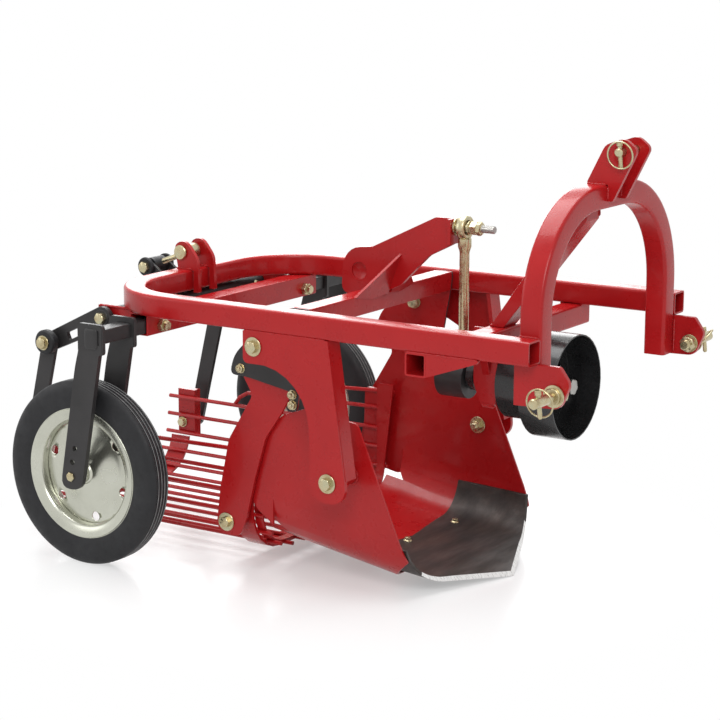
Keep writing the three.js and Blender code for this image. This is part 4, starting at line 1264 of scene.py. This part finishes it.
def makeBearingCheeks():
    # a tapering plate on each side of the bearing, hung from the front beam
    top, foot, (inner, outer) = frameTube["top"] - frameTube["size"], cheek["foot"], cheek["faces"]
    plan = roundedCorners([(cheek["front"], top), (cheek["rear"], top), (cheek["rear"], foot + 48, 12),
                           (-283, foot, 10), (-249, foot, 10)])
    shapes = []
    for _, sign in sides:
        weld = [(-283, sign * (outer - 1), foot + 3), (-250, sign * (outer - 1), foot + 1)]
        shapes += [plateShape(plan, [], sign * inner, sign * outer, alongY), weldShape(weld, 4, (0, 1, 0))]
    putPiece("bearingCheeks", shapes, redPaint, "chassis", bevel=1)


def makeSeams():
    # flush welds along the outer faces, where the struts and the front beam meet the rails
    low = frameTube["top"] - frameTube["size"]
    outer = nodeBox("main_frame")[1][1]
    strut, beam = nodeBox("strut_right"), nodeBox("front_beam")
    shapes = []
    for _, sign in sides:
        for start, end in ((strut[0][0] + 3, -484), (beam[0][0] + 2, beam[1][0] - 4)):
            path = [(x, sign * (outer - 1.7), low) for x in (start, end)]
            shapes.append(weldShape(path, 2.2, (0, 1, 0), 2.6))
    putPiece("seamWelds", shapes, redPaint, "chassis", sharp=60)


def ringWeld(place, axis, radius, size=3.0):
    return weldShape(ringPath(place, axis, radius, 0, 358, 90), size, axis)


def makeBeads(beads, signs=(-1, 1)):
    # each bead is (start, end, radius, hint); its y is the distance off the middle, for either side
    return [weldShape(np.array([start, end], float) * (1, sign, 1), radius, hint)
            for start, end, radius, hint in beads for sign in signs]


def makeWelds():
    rail = frameTube["top"] - frameTube["size"]
    inside, crown = nodeBox("hitch_arch")[1][1:]
    plate, strut, bracket = (nodeBox(name) for name in ("lower_hitch_plate_left", "strut_left",
                                                        "rocker_bracket_left"))
    beam, socket, brace = (nodeBox(name) for name in ("front_beam", "wheel_socket", "mast_brace"))
    flat, upright = (0, 0, 1), (0, 1, 0)
    back, front, foot = -48, -4, -486
    beads = [((back, inside + 1, rail + 50), (front, inside + 1, rail + 50), 3, flat),
             ((back, inside, rail - 1), (front, inside, rail - 1), 3, flat),
             ((1, inside, plate[0][2] + 8), (1, inside, plate[1][2] - 8), 3.4, upright),
             ((plate[0][0], inside + 1, plate[0][2] + 6), (plate[0][0], inside + 1, rail - 6), 3, upright),
             ((strut[0][0] + 4, 356, rail - 1), (foot + 4, 356, rail - 1), 3.4, flat),
             ((foot, 352, rail - 6), (foot + 40, 352, 272), 3, upright),
             ((foot, 324, rail - 1), (foot, 352, rail - 1), 3, flat),
             ((brace[1][0], 30, 816), (brace[1][0], 30, 864), 3, upright),
             ((bracket[0][0] + 4, 300, rail - 1), (bracket[1][0] - 4, 300, rail - 1), 3, flat)]
    for x in (beam[0][0] - 0.5, beam[0][0] + frameTube["size"] + 0.5):
        beads.append(((x, 319, rail - 1), (x, 364, rail - 1), 3, flat))
    for x in (socket[0][0], socket[1][0]):
        beads.append(((x, 318, rail - 1), (x, 335, rail - 1), 3, flat))
    for y in (26, 36):
        beads += [((back + 1, y, crown + 0.5), (front, y, crown + 0.5), 3.2, flat),
                  ((1, y, crown - 4), (1, y, 862), 3.2, upright),
                  ((-1128, y, rail + 51), (-1084, y, rail + 51), 2.6, flat)]
    shapes = makeBeads(beads)
    shapes += makeBeads([((x, -reach, z), (x, reach, z), 3, flat)
                         for x, reach, z in ((brace[1][0], 28, 866), (-276, 29, rail + 1))], signs=(1,))
    for name, sign in sides:
        corner = [(back, 2), (back - 3, 8), (back - 3, 48)]
        shapes.append(weldShape([(x, sign * inside, rail + z) for x, z in corner], 3.2, upright))
        place = nodeMiddle(f"share_bolt_{name}")
        shapes.append(ringWeld((place[0], sign * 281, place[2]), (0, sign, 0), 20.5))
    shapes.append(ringWeld((-262, 0, nodeMiddle("shaft_bearing")[2]), (1, 0, 0), 45.5, 2.6))
    putPiece("frameWelds", shapes, redPaint, "chassis", sharp=60)

    low, high = nodeBox("rocker_tube")
    beads = [((low[0] + 1, 7.5, high[2] + 1), (high[0] - 1, 7.5, high[2] + 1), 3.4, flat),
             ((-606, 287, low[2]), (-572, 287, low[2]), 2.6, flat),
             ((-391.5, 7, 738), (-391.5, 7, 784), 3, upright)]
    putPiece("rockerWelds", makeBeads(beads), redPaint, "rocker", sharp=60)


sieve = {"halfWidth": 271, "sheet": 6, "bottom": 26, "corner": 105, "rod": 5, "pitch": 47, "count": 9,
         "welds": ((-792, 9), (-742, 9), (-1386, 8), (-1331, 8)), "rearFrom": -1000, "rearTop": 108,
         "floorRods": 5, "spread": 0.75, "wallSpread": 0.225, "drop": 0.2}


def rodPlaces():
    # each rod's place inside the U, one pitch apart from the middle: flat floor, quarter bend, wall
    reach = sieve["halfWidth"] - sieve["sheet"] - sieve["rod"] + 1
    radius = sieve["corner"] - sieve["sheet"] - sieve["rod"] + 1
    low = sieve["bottom"] + sieve["sheet"] + sieve["rod"] - 1
    flat = reach - radius
    along = sieve["pitch"] * (np.arange(sieve["count"]) + 0.5)
    angle = np.clip((along - flat) / radius, 0, pi / 2)
    y = np.minimum(along, flat) + radius * np.sin(angle)
    z = low + radius * (1 - np.cos(angle)) + np.clip(along - flat - radius * pi / 2, 0, None)
    return y, z


def rodWeld(place, length):
    # a short bead along x, thickest in its middle
    path = place + np.outer((-0.5, -0.25, 0, 0.25, 0.5), (length, 0, 0))
    return tubeShape(path, [0.8, 2.6, 3.2, 2.6, 0.8], (0, 0, 1), 8)


def makeSieveWelds():
    across, up = rodPlaces()
    radius = sieve["rod"]
    boss = nodeMiddle("sieve_bolt_left")
    shapes = []
    for _, sign in sides:
        for number, (y, z) in enumerate(zip(across, up)):
            spread = radius * sieve["spread" if number < sieve["floorRods"] else "wallSpread"]
            for x, length in sieve["welds"]:
                if x < sieve["rearFrom"] and z > sieve["rearTop"]:
                    continue
                for off in (-spread, spread):
                    place = np.array([x, sign * y + off, z - radius * sieve["drop"]])
                    shapes.append(rodWeld(place, length))
        shapes.append(ringWeld((boss[0], sign * 271.5, boss[2]), (0, sign, 0), 23, 2.8))
    putPiece("sieveWelds", shapes, redPaint, "sieve", sharp=60)


makeGusset()
makeBearingCheeks()
makeSeams()
makeWelds()
makeSieveWelds()
print("welds made")


# floor, light and camera
studio = {"floorHalf": 30, "fadeStart": 0.35, "fadeEnd": 0.9, "fadeLeast": 0.34, "worldDiffuse": 0.5}
# place, target height, size and power
lamps = {"key": ((2.2, -3.6, 3.4), 0.4, 2.6, 95), "top": ((-0.6, 0.4, 3.6), 0.4, 3.0, 110),
         "fill": ((-3.2, -2.6, 1.8), 0.4, 2.4, 20), "rim": ((-1.95, 3.0, 1.5), 0.55, 2.6, 55)}
view = {"place": (2.6034, -3.946, 1.428), "azimuth": 32.93, "elevation": 11.84, "roll": 0.22,
        "lens": 105.15}


def seenRays(tree):
    # 1 for camera, glossy and transmission rays, 0 for the rest
    rays = tree.nodes.new("ShaderNodeLightPath")
    level = addMath(tree, "MAXIMUM", rays.outputs["Is Camera Ray"], rays.outputs["Is Glossy Ray"])
    return addMath(tree, "MAXIMUM", level, rays.outputs["Is Transmission Ray"])


def makeStage():
    mesh = bpy.data.meshes.new("floor")
    half = studio["floorHalf"]
    corners = [(-half, -half, 0), (half, -half, 0), (half, half, 0), (-half, half, 0)]
    mesh.from_pydata(corners, [], [(0, 1, 2, 3)])
    floor = bpy.data.objects.new("floor", mesh)
    bpy.context.scene.collection.objects.link(floor)
    material, tree, shader, coords = newMaterial("paleFloor")
    mesh.materials.append(material)
    cloud = addNoise(tree, coords, 0.8, 2)
    stops = [(0.3, (0.93, 0.93, 0.935)), (0.7, (0.95, 0.95, 0.95))]
    tree.links.new(addRamp(tree, cloud, stops), shader.inputs["Base Color"])
    setInputs(shader, {"Roughness": 0.22, "Specular IOR Level": 0.35})
    # away from the object the floor turns to plain white for the camera and for reflections
    length = tree.nodes.new("ShaderNodeVectorMath")
    length.operation = "LENGTH"
    tree.links.new(coords, length.inputs[0])
    fade = addRange(tree, length.outputs["Value"], studio["fadeLeast"], 1,
                    studio["fadeStart"], studio["fadeEnd"])
    white = tree.nodes.new("ShaderNodeEmission")
    setInputs(white, {"Color": (1, 1, 1, 1), "Strength": 1.0})
    whiteness = addMath(tree, "MULTIPLY", fade, seenRays(tree))
    mixShaders(tree, whiteness, shader.outputs["BSDF"], white.outputs["Emission"], "Material Output")


def makeWorld():
    world = bpy.data.worlds.new("studio")
    bpy.context.scene.world = world
    world.use_nodes = True
    tree = world.node_tree
    soft = tree.nodes["Background"]
    setInputs(soft, {"Color": (1, 1, 1, 1), "Strength": studio["worldDiffuse"]})
    white = tree.nodes.new("ShaderNodeBackground")
    setInputs(white, {"Color": (1, 1, 1, 1), "Strength": 1.0})
    mixShaders(tree, seenRays(tree), soft.outputs["Background"], white.outputs["Background"],
               "World Output")


def addLamp(name, place, target, size, power):
    light = bpy.data.lights.new(name, "AREA")
    light.shape = "DISK"
    light.size = size
    light.energy = power
    lamp = bpy.data.objects.new(name, light)
    bpy.context.scene.collection.objects.link(lamp)
    lamp.location = place
    lamp.rotation_euler = (Vector(target) - Vector(place)).to_track_quat("-Z", "Y").to_euler()


def makeCamera():
    # back vector = (sin a cos e, -cos a cos e, sin e) for azimuth a and elevation e
    # the roll turns right and up about it
    azimuth, elevation, roll = (radians(view[key]) for key in ("azimuth", "elevation", "roll"))
    level = np.cos(elevation)
    back = Vector((np.sin(azimuth) * level, -np.cos(azimuth) * level, np.sin(elevation)))
    right = Vector((np.cos(azimuth), np.sin(azimuth), 0))
    up = back.cross(right)
    right, up = right * np.cos(roll) + up * np.sin(roll), up * np.cos(roll) - right * np.sin(roll)
    data = bpy.data.cameras.new("camera")
    data.lens = view["lens"]
    data.sensor_width = 36
    camera = bpy.data.objects.new("camera", data)
    bpy.context.scene.collection.objects.link(camera)
    turn = Matrix((right, up, back)).transposed()
    camera.matrix_world = Matrix.Translation(view["place"]) @ turn.to_4x4()
    bpy.context.scene.camera = camera


makeStage()
makeWorld()
for name, (place, height, size, power) in lamps.items():
    addLamp(name, place, (0, 0, height), size, power)
makeCamera()
bpy.context.scene.view_settings.view_transform = "Standard"
print("stage, lamps and camera made")
